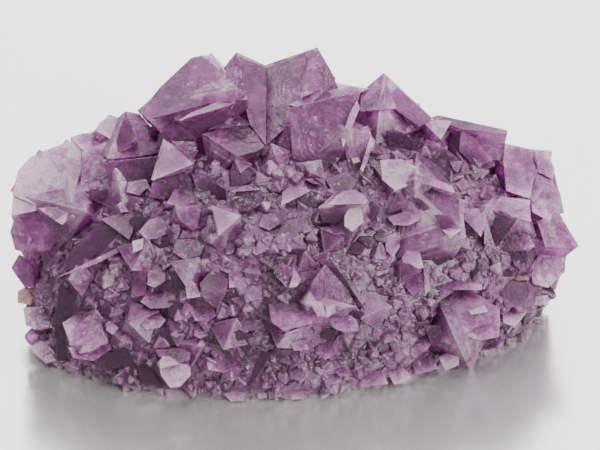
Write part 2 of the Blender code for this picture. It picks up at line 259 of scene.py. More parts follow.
MAIN_CRYSTALS = (
    Crystal("left_ridge", ((-15.1, 25.6), (-24.2, 17.0), (-10.8, 19.3)), Lean.UP, -3.0, Skin.LILAC),
    Crystal("point", ((-9.4, 25.6), (-7.9, 17.1), (-2.2, 22.5)), Lean.UP, -3.0, Skin.LILAC, Skin.DEEP),
    Crystal("summit", ((2.6, 26.3), (-7.5, 23.2), (-1.2, 15.8)), Lean.UP, -2.2, Skin.LILAC),
    Crystal("dark_block", ((-2.1, 17.7), (9.2, 20.3), (5.7, 9.1)), Lean.DOWN, -0.8, Skin.DARK),
    Crystal("right_peak", ((12.4, 22.6), (11.1, 11.8), (20.4, 15.4)), Lean.RIGHT, -3.0, Skin.GREY),
    Crystal("brown_glass", ((7.2, 14.0), (11.2, 14.6), (9.0, 5.5)), Lean.DOWN, -0.5),
    Crystal("pale_chip", ((18.0, 15.8), (23.5, 15.3), (21.2, 12.7)), Lean.UP, -0.5, Skin.PALE),
    Crystal("right_shoulder", ((21.8, 15.8), (31.2, 14.2), (26.4, 8.5)), Lean.UP, -2.0, Skin.LILAC),
    Crystal("right_flank", ((28.8, 11.9), (37.7, 11.1), (33.0, 5.3)), Lean.UP, -2.5, Skin.GREY),
    Crystal("right_dark", ((27.6, 2.8), (32.3, 1.0), (29.4, -3.4)), Lean.DOWN, -0.3, Skin.DARK),
    Crystal("pale_slope", ((16.2, 6.2), (24.6, 3.4), (24.5, -1.8)), Lean.UP, -2.2, Skin.LILAC),
    Crystal("magenta", ((17.7, 11.2), (24.3, 4.5), (16.8, 6.7)), Lean.UP, -1.8),
    Crystal("dark_arrow", ((12.6, 14.6), (18.4, 12.3), (15.2, 10.2)), Lean.DOWN, 0.8, Skin.DARK),
    Crystal("lilac_patch", ((10.8, 9.0), (16.8, 9.8), (13.9, 4.9)), Lean.UP, -0.2, Skin.PALE),
    Crystal("grey_lozenge", ((-14.7, 13.6), (-9.4, 10.2), (-7.5, 15.2)), Lean.UP, 0.2, Skin.GREY),
    Crystal("lozenge_side", ((-8.4, 15.6), (-9.6, 10.4), (-5.2, 11.7)), Lean.UP, 0.0, Skin.DARK_GREY),
    Crystal("dark_top", ((-20.5, 14.4), (-15.1, 15.4), (-15.6, 9.3)), Lean.UP, -0.4, Skin.DEEP),
    Crystal("frosted_triangle", ((-20.5, 12.9), (-15.9, 9.1), (-22.2, 6.7)), Lean.UP, 1.0, Skin.FROSTED),
    Crystal("left_tip", ((-26.1, 17.0), (-28.5, 9.8), (-20.9, 10.7)), Lean.UP, -0.6, Skin.GREY),
    Crystal("left_shoulder", ((-34.8, 13.2), (-28.0, 13.8), (-31.5, 3.0)), Lean.UP, -2.5, Skin.GREY),
    Crystal("shoulder_point", ((-31.2, 13.6), (-28.8, 16.7), (-26.4, 15.8)), Lean.UP, -1.0, Skin.PALE),
    Crystal("pale_left", ((-43.4, 1.2), (-35.1, 13.0), (-33.3, 3.3)), Lean.UP, -4.5, Skin.MILKY, Skin.PALE),
    Crystal("pale_left_side", ((-43.4, 5.1), (-38.8, 11.3), (-36.4, 4.0)), Lean.UP, -3.5, Skin.MILKY,
            Skin.PALE),
    Crystal("grey_plane", ((-31.2, 2.0), (-25.4, -2.2), (-37.2, -7.8)), Lean.DOWN, -2.5, Skin.DARK_GREY),
    Crystal("left_under", ((-42.9, 1.0), (-35.7, -0.2), (-39.6, -5.6)), Lean.DOWN, -1.0, Skin.LILAC),
    Crystal("left_edge", ((-43.6, -1.6), (-39.0, 1.4), (-40.2, -6.0)), Lean.UP, -3.0, Skin.LILAC),
    Crystal("frosted_centre", ((-13.1, 2.8), (-8.8, 1.4), (-12.2, -1.7)), Lean.UP, 1.2, Skin.FROSTED),
    Crystal("bright_wedge", ((2.7, 2.6), (10.1, 3.2), (6.8, 6.3)), Lean.UP, -0.2, Skin.FROSTED),
    Crystal("pale_violet", ((19.5, -8.4), (29.7, -12.2), (22.8, -16.8)), Lean.UP, -1.2, Skin.LILAC),
    Crystal("right_bead", ((30.4, -12.6), (34.7, -12.6), (32.6, -8.7)), Lean.UP, 0.0, Skin.PALE),
    Crystal("right_low", ((34.2, -7.1), (39.9, -4.0), (38.4, -9.8)), Lean.DOWN, -1.2, Skin.LILAC),
    Crystal("right_edge", ((38.0, 8.2), (39.6, 1.8), (34.8, 3.8)), Lean.RIGHT, -3.0),
    Crystal("right_tip", ((38.0, 3.0), (41.5, -3.1), (34.2, -2.2)), Lean.UP, -2.5, Skin.LILAC),
    Crystal("low_left", ((-35.7, -14.6), (-30.3, -12.4), (-32.7, -19.1)), Lean.UP, -0.6, Skin.LILAC),
    Crystal("low_left_front", ((-21.3, -20.6), (-16.2, -21.4), (-19.5, -24.4)), Lean.DOWN, -0.2,
            Skin.LILAC),
    Crystal("tent", ((3.8, -5.6), (0.6, -11.7), (8.4, -12.2)), Lean.UP, -0.8, Skin.DEEP),
    Crystal("tent_side", ((9.0, -14.0), (13.5, -12.0), (11.7, -15.9)), Lean.DOWN, 0.0),
    Crystal("dark_dish", ((-15.0, -10.2), (-10.8, -9.8), (-13.2, -6.8)), Lean.UP, 0.2, Skin.DARK_GREY),
    Crystal("grey_flake", ((-25.5, -11.1), (-21.0, -12.8), (-25.5, -14.4)), Lean.UP, 0.2, Skin.GREY),
    Crystal("small_beak", ((-18.4, 2.0), (-14.8, 3.0), (-16.0, -1.2)), Lean.DOWN, 0.6),
    Crystal("low_right_lump", ((12.4, -21.2), (16.8, -20.6), (14.6, -23.2)), Lean.UP, 0.0, Skin.PALE),
    Crystal("left_dark", ((-27.5, 8.5), (-21.5, 6.0), (-26.0, 1.5)), Lean.UP, -0.4, Skin.DEEP),
    Crystal("v_notch", ((-3.6, -6.7), (-1.0, -6.7), (-2.2, -9.5)), Lean.DOWN, 0.8, Skin.GREY),
    Crystal("below_wedge", ((6.0, 2.2), (9.2, 2.4), (7.6, -1.1)), Lean.UP, 0.4, Skin.LILAC),
    Crystal("thin_facet", ((3.0, -0.4), (6.0, 0.0), (6.6, -1.8)), Lean.UP, 0.4, Skin.GREY),
    Crystal("dark_dart", ((15.0, -5.5), (18.0, -6.9), (15.0, -8.6)), Lean.DOWN, 0.6, Skin.DARK),
    Crystal("left_fan", ((-34.5, -8.2), (-30.6, -7.9), (-32.8, -10.8)), Lean.DOWN, 0.4, Skin.GREY),
    Crystal("summit_chip", ((-3.8, 10.5), (-1.2, 11.0), (-2.6, 7.8)), Lean.DOWN, 1.0),
    Crystal("centre_beak", ((0.4, 9.4), (3.2, 9.8), (1.5, 7.8)), Lean.UP, 1.0, Skin.LILAC),
    Crystal("lozenge_chip", ((-9.8, 10.0), (-7.2, 9.2), (-8.9, 7.8)), Lean.UP, 1.2, Skin.GREY),
    Crystal("right_round", ((29.5, -9.6), (34.5, -8.6), (32.5, -12.8)), Lean.UP, 0.0),
    Crystal("right_neighbour", ((24.5, 3.2), (27.6, 2.8), (25.8, -1.4)), Lean.UP, -0.2),
    Crystal("mid_violet", ((-19.5, -5.5), (-15.0, -4.8), (-17.0, -9.2)), Lean.UP, 0.0),
    Crystal("mid_left", ((-27.5, -3.2), (-22.5, -2.0), (-25.0, -6.8)), Lean.UP, -0.4),
    Crystal("low_mid", ((-5.0, -14.5), (-0.5, -14.0), (-3.5, -18.2)), Lean.UP, -0.4),
    Crystal("low_mid_left", ((-13.8, -14.8), (-9.4, -13.8), (-11.4, -18.6)), Lean.UP, -0.4),
    Crystal("sandy_face", ((-4.4, -11.6), (1.0, -11.8), (-2.6, -15.6)), Lean.UP, -0.6, Skin.LILAC),
)

# The holes, hollows, grooves, clefts and the grey slot, and the facets named shade, are dark sheets put
# where there is only shade: painted shade. glass_glint and violet_body_glint are bright patches as painted
# highlights.
FACETS = (
    Facet("ridge_face", ((139, 113), (150, 100), (160, 87), (180, 69), (192, 57), (206, 55), (222, 67),
          (227, 99), (200, 104), (165, 110), (148, 120)), (0.1, -0.7), 0.3, Skin.SMOOTH),
    Facet("ridge_chip", ((200, 55), (207, 55), (216, 59), (222, 67), (219, 69), (208, 61)), (0.0, -0.8),
          0.2, Skin.MILKY),
    Facet("point_left", ((237, 54), (226, 66), (224, 99), (246, 97), (240, 60)), (0.4, -0.3), 0.3),
    Facet("point_right", ((238, 55), (267, 67), (266, 146), (250, 125), (249, 100), (241, 92)),
          (-0.1, -0.4), 0.3, Skin.SMOOTH),
    Facet("summit_face", ((267, 67), (312, 50), (319, 50), (335, 78), (331, 86), (296, 101), (272, 128),
          (266, 146)), (0.1, -0.4), 0.3, Skin.SMOOTH),
    Facet("summit_side", ((312, 50), (319, 50), (336, 79), (333, 86), (300, 98), (303, 75)), (-0.3, -0.2),
          0.2),
    Facet("band", ((178, 122), (192, 116), (222, 102), (248, 99), (248, 108), (222, 119), (204, 130),
          (196, 138)), (0.1, 0.3), 0.5, Skin.DARK),
    Facet("band_edge", ((178, 121), (190, 113), (222, 100), (247, 97), (247, 100), (222, 104), (190, 116)),
          (0.1, -1.2), 0.2, Skin.PALE),
    Facet("lozenge_upper", ((206, 130), (238, 115), (249, 121), (250, 125), (224, 128)), (0.0, -0.6), 0.4,
          Skin.GREY),
    Facet("lozenge", ((202, 134), (224, 127), (250, 125), (265, 147), (255, 152), (237, 157)), (0.0, -1.0),
          0.6, Skin.GREY),
    Facet("lozenge_notch", ((224, 129), (236, 125), (250, 125), (260, 142), (246, 143), (238, 136)),
          (0.0, -1.0), 0.15, Skin.DARK),
    Facet("dark_top_face", ((163, 132), (165, 128), (172, 125), (190, 122), (200, 133), (196, 141),
          (172, 141)), (0.0, 0.2), 0.8, Skin.DARK),
    Facet("dark_top_side", ((171, 141), (196, 141), (198, 152), (193, 162)), (0.2, -0.2), 0.5, Skin.LILAC),
    Facet("notch_chip", ((148, 120), (170, 116), (174, 123), (165, 127), (161, 133)), (0.0, -0.8), 0.5,
          Skin.PALE),
    Facet("small_chip", ((172, 112), (178, 111), (185, 117), (180, 121), (174, 120)), (0.0, -0.8), 0.4,
          Skin.PALE),
    Facet("notch_dark", ((147, 124), (163, 133), (162, 139), (152, 140)), (0.0, 0.3), 0.3, Skin.DARK),
    Facet("tip_left", ((126, 111), (111, 157), (137, 140)), (0.6, -0.2), 0.4, Skin.VIOLET),
    Facet("tip_right", ((126, 111), (137, 140), (150, 140), (147, 124), (140, 114)), (-0.2, -0.4), 0.3,
          Skin.LILAC),
    Facet("tip_base", ((137, 140), (111, 159), (135, 157), (160, 153), (162, 142), (150, 141)), (0.0, -0.9),
          0.4, Skin.GREY),
    Facet("frosted_upper", ((164, 139), (194, 164), (152, 181)), (0.1, -0.9), 0.9, Skin.FROSTED),
    Facet("block_left", ((289, 108), (283, 122), (275, 143), (290, 151), (293, 120)), (0.5, -0.2), 0.5,
          Skin.PALE),
    Facet("block_face", ((289, 108), (361, 91), (344, 150), (332, 176), (322, 168), (292, 158)),
          (-0.1, 0.1), 0.5, Skin.VIOLET),
    Facet("block_top", ((288, 105), (300, 99), (335, 89), (352, 86), (369, 88), (330, 96), (297, 107)),
          (0.0, -1.2), 0.2, Skin.PALE),
    Facet("block_right", ((357, 100), (360, 108), (350, 130), (343, 148), (341, 140), (350, 112)),
          (-0.5, 0.0), 0.3, Skin.LILAC),
    Facet("brown_glass_face", ((348, 132), (368, 126), (374, 140), (362, 180), (350, 180), (345, 150)),
          (-0.1, 0.0), 0.4, Skin.VIOLET),
    Facet("glass_glint", ((351, 158), (359, 157), (361, 162), (353, 164)), (0.0, -0.5), 0.4, Skin.SANDY),
    Facet("glass_edge", ((371, 134), (375, 141), (363, 172), (360, 170), (371, 145)), (-0.6, -0.2), 0.4,
          Skin.PALE),
    Facet("pink_base", ((325, 179), (346, 171), (359, 180), (353, 190), (330, 189)), (0.0, -0.6), 0.4,
          Skin.LILAC),
    Facet("peak_left", ((383, 74), (367, 87), (361, 92), (360, 112), (380, 110), (397, 109)), (0.3, -0.4),
          0.3, Skin.GREY),
    Facet("peak_right", ((383, 74), (432, 118), (420, 127), (400, 113), (391, 106)), (-0.2, -0.5), 0.3,
          Skin.SMOOTH),
    Facet("dark_arrow_face", ((386, 130), (400, 131), (420, 144), (401, 157), (388, 146)), (0.0, 0.3), 0.5,
          Skin.DARK),
    Facet("pale_triangle", ((418, 118), (452, 121), (441, 140)), (0.0, -0.6), 0.4, Skin.PALE),
    Facet("lilac_patch_face", ((380, 160), (401, 159), (418, 168), (408, 186), (395, 191), (382, 180)),
          (0.0, -0.6), 0.4, Skin.PALE),
    Facet("far_pale", ((95, 131), (100, 122), (107, 117), (122, 117), (119, 130), (112, 140), (104, 134)),
          (0.0, -0.5), 0.2, Skin.MILKY),
    Facet("shoulder_top", ((70, 137), (83, 133), (108, 134), (113, 140), (82, 150)), (0.0, -1.0), 0.3,
          Skin.HAZY),
    Facet("shoulder_face", ((82, 150), (112, 140), (110, 165), (106, 176), (103, 190), (80, 190)),
          (0.0, -0.3), 0.3, Skin.HAZY),
    Facet("big_pale", ((12, 195), (18, 171), (30, 157), (46, 150), (70, 141), (82, 150), (82, 170),
          (76, 187), (72, 199), (36, 206), (33, 198)), (0.1, -0.5), 0.4, Skin.MILKY, Skin.PALE),
    Facet("big_pale_foot", ((11, 216), (13, 197), (33, 198), (37, 206), (36, 211)), (0.0, -0.9), 0.3,
          Skin.MILKY, Skin.PALE),
    Facet("left_purple", ((15, 217), (36, 212), (53, 218), (58, 240), (50, 251), (22, 252)), (0.1, 0.0),
          0.3),
    Facet("left_purple_side", ((14, 218), (19, 222), (32, 239), (24, 252), (15, 250), (10, 232)),
          (0.9, 0.0), 0.4, Skin.LILAC),
    Facet("left_lilac", ((37, 208), (64, 206), (70, 214), (62, 225), (54, 220)), (0.0, -0.7), 0.5,
          Skin.LILAC),
    Facet("left_lilac_chip", ((55, 221), (60, 216), (67, 213), (66, 221), (62, 225)), (0.2, -0.9), 0.3,
          Skin.PALE),
    Facet("shoulder_foot", ((75, 188), (82, 191), (92, 204), (79, 206)), (0.0, -0.4), 0.4, Skin.GREY),
    Facet("shoulder_shade", ((83, 191), (108, 190), (120, 198), (96, 201)), (0.0, 0.4), 0.3, Skin.DARK),
    Facet("grey_plane_face", ((101, 220), (130, 240), (106, 257), (84, 266), (60, 272), (70, 252),
          (88, 240)), (0.0, 0.1), 0.6, Skin.DARK_GREY),
    Facet("grey_plane_lip", ((58, 277), (74, 272), (97, 262), (131, 241), (131, 246), (110, 257),
          (96, 264)), (0.0, -0.8), 0.5, Skin.PALE),
    Facet("grey_wedge", ((100, 219), (120, 213), (134, 214), (128, 221), (133, 232), (129, 240)),
          (0.0, -0.9), 0.6, Skin.GREY),
    Facet("grey_wedge_shade", ((128, 221), (134, 216), (144, 217), (150, 222), (135, 233)), (0.0, 0.2), 0.6,
          Skin.DARK),
    Facet("white_chip", ((117, 205), (121, 201), (129, 212), (121, 213)), (-0.2, -0.8), 0.5, Skin.MILKY),
    Facet("dark_sparkle", ((108, 162), (158, 156), (152, 182), (140, 196), (120, 197), (107, 184)),
          (0.0, 0.2), 0.3, Skin.DEEP),
    Facet("dark_sparkle_patch", ((128, 182), (146, 178), (150, 186), (139, 196), (126, 192)), (0.0, -0.5),
          0.4, Skin.LILAC),
    Facet("under_frosted", ((152, 182), (186, 172), (192, 180), (194, 196), (176, 189), (162, 200),
          (148, 197)), (0.0, -0.1), 0.5),
    Facet("grey_smooth", ((174, 189), (191, 188), (197, 203), (176, 206), (166, 204)), (0.0, -1.0), 0.6,
          Skin.GREY),
    Facet("lower_dark_top", ((191, 174), (206, 172), (212, 181), (208, 191), (198, 195)), (0.2, -0.1), 0.5,
          Skin.LILAC),
    Facet("centre_shade", ((208, 178), (226, 190), (226, 207), (212, 206)), (0.2, 0.3), 0.3, Skin.DEEP),
    Facet("centre_bright", ((176, 212), (182, 207), (199, 206), (201, 211), (197, 229), (192, 231),
          (178, 219)), (-0.1, 0.1), 0.8),
    Facet("centre_bright_side", ((200, 211), (204, 207), (209, 209), (206, 225), (197, 230)), (-0.7, -0.2),
          0.5, Skin.PALE),
    Facet("frosted_middle", ((211, 205), (217, 207), (241, 216), (219, 236)), (0.1, -0.8), 1.0,
          Skin.FROSTED),
    Facet("frost_lumps", ((138, 232), (147, 221), (160, 215), (166, 221), (169, 233), (157, 239),
          (146, 240)), (0.1, -0.6), 0.4, Skin.PALE),
    Facet("frost_lump_left", ((132, 241), (144, 238), (143, 249), (133, 253)), (0.0, -0.7), 0.5,
          Skin.MILKY),
    Facet("dark_hole", ((158, 241), (168, 239), (174, 243), (165, 250), (157, 247)), (0.0, 0.5), 0.2,
          Skin.DARK),
    Facet("violet_disc", ((175, 239), (196, 238), (205, 246), (200, 256), (184, 260), (172, 252)),
          (0.0, -0.4), 0.5),
    Facet("tall_left", ((132, 271), (142, 265), (147, 270), (146, 296), (131, 298)), (0.3, 0.0), 0.5,
          Skin.LILAC),
    Facet("tall_left_frost", ((147, 270), (165, 268), (166, 281), (155, 288), (147, 285)), (0.0, -0.6), 0.6,
          Skin.PALE),
    Facet("pale_fan", ((140, 302), (150, 286), (170, 290), (181, 299), (168, 308), (150, 309)), (0.0, -0.7),
          0.6, Skin.PALE),
    Facet("grey_slot", ((168, 272), (178, 275), (184, 286), (184, 297), (175, 291)), (0.3, 0.3), 0.3,
          Skin.DARK),
    Facet("cleft_upper", ((168, 300), (183, 300), (182, 314), (176, 325), (168, 316)), (0.0, 0.4), 0.2,
          Skin.DARK),
    Facet("cleft_lower", ((160, 328), (169, 325), (176, 347), (160, 347)), (0.0, 0.4), 0.2, Skin.DARK),
    Facet("dish_face", ((199, 284), (210, 271), (225, 274), (229, 282), (226, 291), (202, 293)),
          (0.0, -0.9), 0.5, Skin.DARK_GREY),
    Facet("dish_side", ((183, 275), (197, 284), (201, 297), (187, 299)), (0.1, -0.4), 0.4, Skin.LILAC),
    Facet("round_left", ((226, 195), (236, 189), (254, 185), (262, 191), (262, 204), (250, 212),
          (228, 212)), (0.1, -0.2), 0.5),
    Facet("round_left_lip", ((230, 192), (240, 187), (252, 184), (262, 190), (252, 188), (240, 191)),
          (0.0, -1.2), 0.3, Skin.PALE),
    Facet("grey_window", ((230, 170), (250, 170), (252, 181), (236, 189), (230, 188)), (0.0, 0.0), 0.4,
          Skin.DARK_GREY),
    Facet("pale_strip", ((222, 172), (229, 170), (230, 189), (225, 194)), (-0.3, -0.3), 0.4, Skin.PALE),
    Facet("round_right", ((283, 207), (288, 196), (291, 188), (304, 188), (314, 194), (326, 196),
          (318, 207)), (-0.1, -0.1), 0.6, Skin.DEEP),
    Facet("round_right_lip", ((281, 206), (282, 192), (291, 186), (306, 187), (311, 191), (292, 190),
          (287, 198)), (0.0, -1.1), 0.3, Skin.PALE),
    Facet("long_shard", ((304, 179), (312, 178), (321, 185), (313, 184)), (0.0, -0.8), 0.8, Skin.MILKY),
    Facet("frosted_block", ((258, 226), (262, 214), (276, 212), (281, 224), (269, 231)), (0.0, -0.5), 0.5,
          Skin.LILAC),
    Facet("round_middle", ((288, 228), (291, 219), (302, 216), (309, 222), (306, 231), (294, 234)),
          (0.0, -0.4), 0.5, Skin.LILAC),
    Facet("pale_bead", ((252, 253), (254, 246), (262, 246), (263, 253), (256, 256)), (0.0, -0.6), 0.5,
          Skin.PALE),
    Facet("notch_left", ((271, 266), (281, 263), (280, 273), (287, 288), (276, 277)), (0.4, -0.5), 0.5,
          Skin.LILAC),
    Facet("notch_middle", ((281, 263), (293, 268), (288, 287), (284, 283)), (-0.2, 0.2), 0.3),
    Facet("notch_right", ((294, 268), (301, 280), (297, 287), (289, 288)), (-0.5, -0.4), 0.5, Skin.PALE),
    Facet("frost_heap_left", ((228, 270), (236, 267), (243, 275), (240, 287), (229, 288)), (0.0, -0.7), 0.5,
          Skin.PALE),
    Facet("frost_heap", ((240, 287), (262, 284), (263, 299), (246, 303)), (0.0, -0.5), 0.5, Skin.LILAC),
    Facet("wedge_frosted", ((327, 205), (336, 196), (343, 191), (354, 190), (363, 194), (368, 201),
          (365, 204)), (0.0, -1.1), 1.2, Skin.FROSTED),
    Facet("wedge_shade", ((318, 210), (346, 206), (349, 210), (343, 221), (334, 225), (322, 222)),
          (0.1, 0.3), 0.3, Skin.DARK),
    Facet("wedge_under", ((348, 208), (361, 206), (360, 215), (364, 222), (352, 232), (344, 226),
          (344, 217)), (0.0, -0.4), 0.6, Skin.PALE),
    Facet("wedge_right", ((364, 212), (372, 200), (381, 207), (376, 220), (371, 225)), (0.2, 0.1), 0.3,
          Skin.DARK_GREY),
    Facet("thin_pale", ((320, 229), (337, 227), (342, 226), (345, 234), (335, 235)), (0.0, -1.3), 0.6,
          Skin.GREY),
    Facet("grey_shard", ((347, 253), (352, 243), (356, 240), (366, 248), (361, 255)), (0.2, -0.7), 0.5,
          Skin.GREY),
    Facet("grey_shard_side", ((357, 239), (362, 236), (375, 236), (379, 250), (366, 250)), (-0.2, 0.2), 0.3,
          Skin.DEEP),
    Facet("lip_right", ((370, 225), (376, 222), (385, 224), (384, 228), (375, 232)), (0.0, -1.0), 0.5,
          Skin.PALE),
    Facet("bright_column", ((384, 236), (400, 231), (400, 247), (393, 258), (386, 251)), (-0.1, -0.4), 0.6,
          Skin.MILKY),
    Facet("pale_ledge", ((387, 217), (400, 213), (413, 210), (421, 213), (418, 221), (408, 226),
          (393, 225)), (0.0, -0.8), 0.5, Skin.PALE),
    Facet("ledge_shade", ((386, 214), (389, 205), (405, 200), (411, 207)), (0.0, 0.2), 0.3, Skin.GREY),
    Facet("dart_dark", ((401, 261), (422, 270), (402, 284)), (0.0, 0.5), 0.3, Skin.DARK),
    Facet("dart_upper", ((401, 259), (405, 250), (420, 252), (424, 268), (418, 269)), (0.0, -0.6), 0.5,
          Skin.LILAC),
    Facet("dart_lower", ((403, 285), (414, 273), (423, 271), (426, 290), (412, 296)), (0.0, -0.3), 0.5,
          Skin.LILAC),
    Facet("bright_stripe", ((423, 262), (428, 262), (430, 290), (425, 296)), (-0.6, -0.2), 0.5, Skin.PALE),
    Facet("right_hollow", ((430, 258), (450, 255), (447, 262), (436, 267)), (0.0, 0.6), 0.2, Skin.DARK),
    Facet("shoulder_back", ((432, 117), (438, 115), (455, 123), (507, 130), (505, 134), (460, 129)),
          (0.0, -0.9), 0.3, Skin.GREY),
    Facet("shoulder_right", ((461, 129), (507, 131), (505, 145), (500, 161), (492, 160), (476, 140)),
          (-0.1, -0.5), 0.3, Skin.SMOOTH),
    Facet("magenta_face", ((461, 130), (475, 138), (493, 161), (476, 168), (459, 151)), (0.1, -0.1), 0.2),
    Facet("magenta_left", ((449, 138), (461, 130), (459, 151), (464, 161), (447, 151), (442, 146)),
          (0.5, 0.0), 0.2, Skin.DEEP),
    Facet("arrow_slope", ((430, 143), (443, 147), (463, 162), (459, 175), (446, 177), (430, 170)),
          (0.1, -0.1), 0.3),
    Facet("small_lilac", ((449, 161), (463, 161), (458, 173), (453, 170)), (0.1, -0.6), 0.4, Skin.LILAC),
    Facet("bright_lozenge", ((455, 184), (463, 177), (471, 185), (462, 193)), (0.0, -0.6), 0.5, Skin.PALE),
    Facet("bright_sliver", ((480, 168), (494, 160), (495, 166), (487, 169)), (0.0, -1.1), 0.4, Skin.MILKY),
    Facet("right_grey_upper", ((505, 143), (530, 149), (536, 170), (530, 199), (506, 191), (503, 160)),
          (0.0, -0.4), 0.4, Skin.HAZY),
    Facet("right_grey_back", ((534, 150), (547, 150), (547, 163), (555, 169), (553, 180), (538, 172)),
          (-0.3, -0.3), 0.3, Skin.HAZY),
    Facet("right_grey_edge", ((537, 173), (553, 181), (556, 205), (550, 222), (532, 212), (530, 195)),
          (-0.4, -0.4), 0.3, Skin.LILAC),
    Facet("right_grey_lower", ((500, 196), (530, 200), (531, 222), (514, 218), (490, 207)), (0.0, -0.9),
          0.4, Skin.HAZY),
    Facet("right_dark_face", ((485, 207), (514, 218), (510, 230), (497, 247), (490, 232)), (0.1, 0.5), 0.3,
          Skin.DARK),
    Facet("right_lens", ((497, 248), (511, 233), (520, 229), (530, 236), (535, 246), (529, 251),
          (508, 252)), (0.0, -0.2), 0.5, Skin.LILAC),
    Facet("right_under_lens", ((498, 251), (530, 252), (528, 263), (504, 263)), (0.0, 0.3), 0.3, Skin.DEEP),
    Facet("right_flank_face", ((537, 222), (558, 210), (568, 235), (577, 244), (575, 249), (545, 247)),
          (-0.5, -0.4), 0.3, Skin.LILAC),
    Facet("right_lump_face", ((529, 268), (540, 253), (560, 247), (566, 258), (565, 272), (548, 288),
          (533, 284)), (-0.2, -0.3), 0.4, Skin.PALE),
    Facet("slope_face", ((411, 183), (456, 196), (459, 200), (459, 234), (440, 215), (425, 199)),
          (0.0, -0.4), 0.4, Skin.SMOOTH),
    Facet("slope_edge", ((458, 198), (464, 200), (464, 236), (459, 235)), (-0.7, -0.3), 0.3, Skin.PALE),
    Facet("slope_shade", ((434, 215), (449, 214), (458, 228), (442, 229)), (0.0, 0.2), 0.3, Skin.DARK),
    Facet("slope_hole", ((413, 197), (421, 199), (431, 208), (431, 213), (423, 211)), (0.0, 0.5), 0.3,
          Skin.DARK),
    Facet("slope_foot", ((442, 230), (463, 229), (450, 239)), (0.0, -0.9), 0.5, Skin.MILKY),
    Facet("band_upper", ((415, 172), (432, 177), (452, 186), (455, 193), (412, 181)), (0.0, -0.9), 0.5,
          Skin.HAZY),
    Facet("neighbour_top", ((464, 208), (484, 208), (487, 222), (481, 237), (464, 220)), (0.0, -0.5), 0.4,
          Skin.HAZY),
    Facet("neighbour_shade", ((464, 221), (481, 237), (464, 236)), (0.0, 0.3), 0.5, Skin.DARK),
    Facet("neighbour_side", ((484, 210), (491, 235), (496, 250), (484, 244)), (-0.4, -0.1), 0.4,
          Skin.LILAC),
    Facet("tent_left", ((325, 264), (324, 299), (308, 300), (311, 283)), (0.5, 0.0), 0.4),
    Facet("tent_right", ((325, 264), (348, 290), (360, 312), (340, 307), (324, 300)), (-0.2, 0.1), 0.4,
          Skin.DEEP),
    Facet("tent_groove", ((322, 259), (333, 262), (346, 280), (364, 308), (356, 307), (340, 285)),
          (0.0, 0.3), 0.1, Skin.DARK),
    Facet("tent_strip", ((333, 261), (346, 274), (357, 290), (366, 300), (362, 305), (345, 280)),
          (0.2, -0.5), 0.4, Skin.LILAC),
    Facet("tent_foot", ((308, 300), (322, 302), (327, 317), (318, 317)), (0.0, -0.6), 0.5, Skin.PALE),
    Facet("tent_foot_bright", ((325, 306), (335, 304), (336, 312), (327, 318)), (0.0, -0.8), 0.7,
          Skin.MILKY),
    Facet("tent_foot_right", ((327, 318), (345, 310), (357, 320), (359, 331), (345, 333), (333, 328)),
          (0.0, -0.6), 0.6, Skin.PALE),
    Facet("tent_hole", ((348, 306), (358, 308), (365, 314), (358, 320), (350, 316)), (0.0, 0.4), 0.2,
          Skin.DARK),
    Facet("sandy", ((268, 304), (285, 300), (303, 302), (311, 318), (322, 322), (296, 325), (283, 331),
          (271, 322)), (0.0, -0.8), 0.5, Skin.GRAINY),
    Facet("sandy_lip", ((282, 336), (300, 327), (321, 321), (323, 323), (302, 330)), (0.0, -1.2), 0.4,
          Skin.PALE),
    Facet("middle_low_hole", ((320, 323), (336, 331), (334, 341), (321, 338)), (0.0, 0.4), 0.2, Skin.DARK),
    Facet("low_round", ((316, 344), (329, 338), (339, 346), (335, 356), (325, 360), (315, 354)),
          (0.0, -0.4), 0.5, Skin.LILAC),
    Facet("low_pale", ((289, 341), (306, 339), (309, 350), (294, 351)), (0.0, -0.7), 0.5, Skin.PALE),
    Facet("low_disc", ((287, 370), (297, 366), (306, 372), (302, 381), (290, 379)), (0.0, -0.4), 0.5),
    Facet("low_groove", ((264, 350), (273, 352), (262, 369), (250, 386), (243, 387), (251, 371)),
          (0.3, 0.3), 0.1, Skin.DARK),
    Facet("block_low_left", ((34, 290), (40, 284), (59, 281), (59, 302), (54, 306), (35, 305)), (0.1, -0.2),
          0.4, Skin.GREY),
    Facet("low_left_beige", ((18, 291), (25, 287), (32, 297), (31, 305), (17, 303)), (0.4, -0.4), 0.3,
          Skin.SANDY),
    Facet("low_left_rim", ((11, 268), (19, 254), (32, 268), (34, 287), (25, 288), (17, 277)), (0.5, -0.3),
          0.3, Skin.LILAC),
    Facet("low_left_lump", ((23, 308), (45, 305), (55, 309), (54, 328), (40, 330), (26, 326)), (0.2, -0.4),
          0.4, Skin.PALE),
    Facet("low_left_pink", ((30, 331), (42, 328), (52, 334), (57, 361), (46, 364), (32, 352)), (0.1, -0.4),
          0.4, Skin.MILKY),
    Facet("dark_band_left", ((60, 283), (81, 300), (82, 308), (66, 316), (62, 324), (54, 330), (56, 306)),
          (0.2, 0.3), 0.3, Skin.DARK),
    Facet("dark_band_low", ((54, 320), (63, 322), (64, 336), (69, 350), (66, 362), (58, 362)), (0.3, 0.3),
          0.3, Skin.DEEP),
    Facet("grey_kite", ((70, 280), (77, 274), (95, 275), (82, 297), (74, 288)), (0.0, -0.4), 0.4,
          Skin.GREY),
    Facet("low_q_left", ((62, 323), (80, 311), (92, 307), (88, 316), (67, 336)), (0.2, -0.9), 0.6,
          Skin.PALE),
    Facet("low_q", ((67, 336), (88, 315), (97, 314), (108, 341), (100, 345), (70, 346)), (0.0, -0.3), 0.6),
    Facet("low_q_foot", ((68, 347), (111, 344), (112, 349), (96, 352), (94, 361), (73, 358)), (0.0, -0.6),
          0.4, Skin.LILAC),
    Facet("low_q_under", ((96, 353), (128, 350), (129, 365), (108, 371), (97, 367)), (0.0, 0.2), 0.3,
          Skin.DEEP),
    Facet("low_bead", ((105, 323), (113, 319), (119, 328), (113, 335), (106, 331)), (0.0, -0.6), 0.4,
          Skin.PALE),
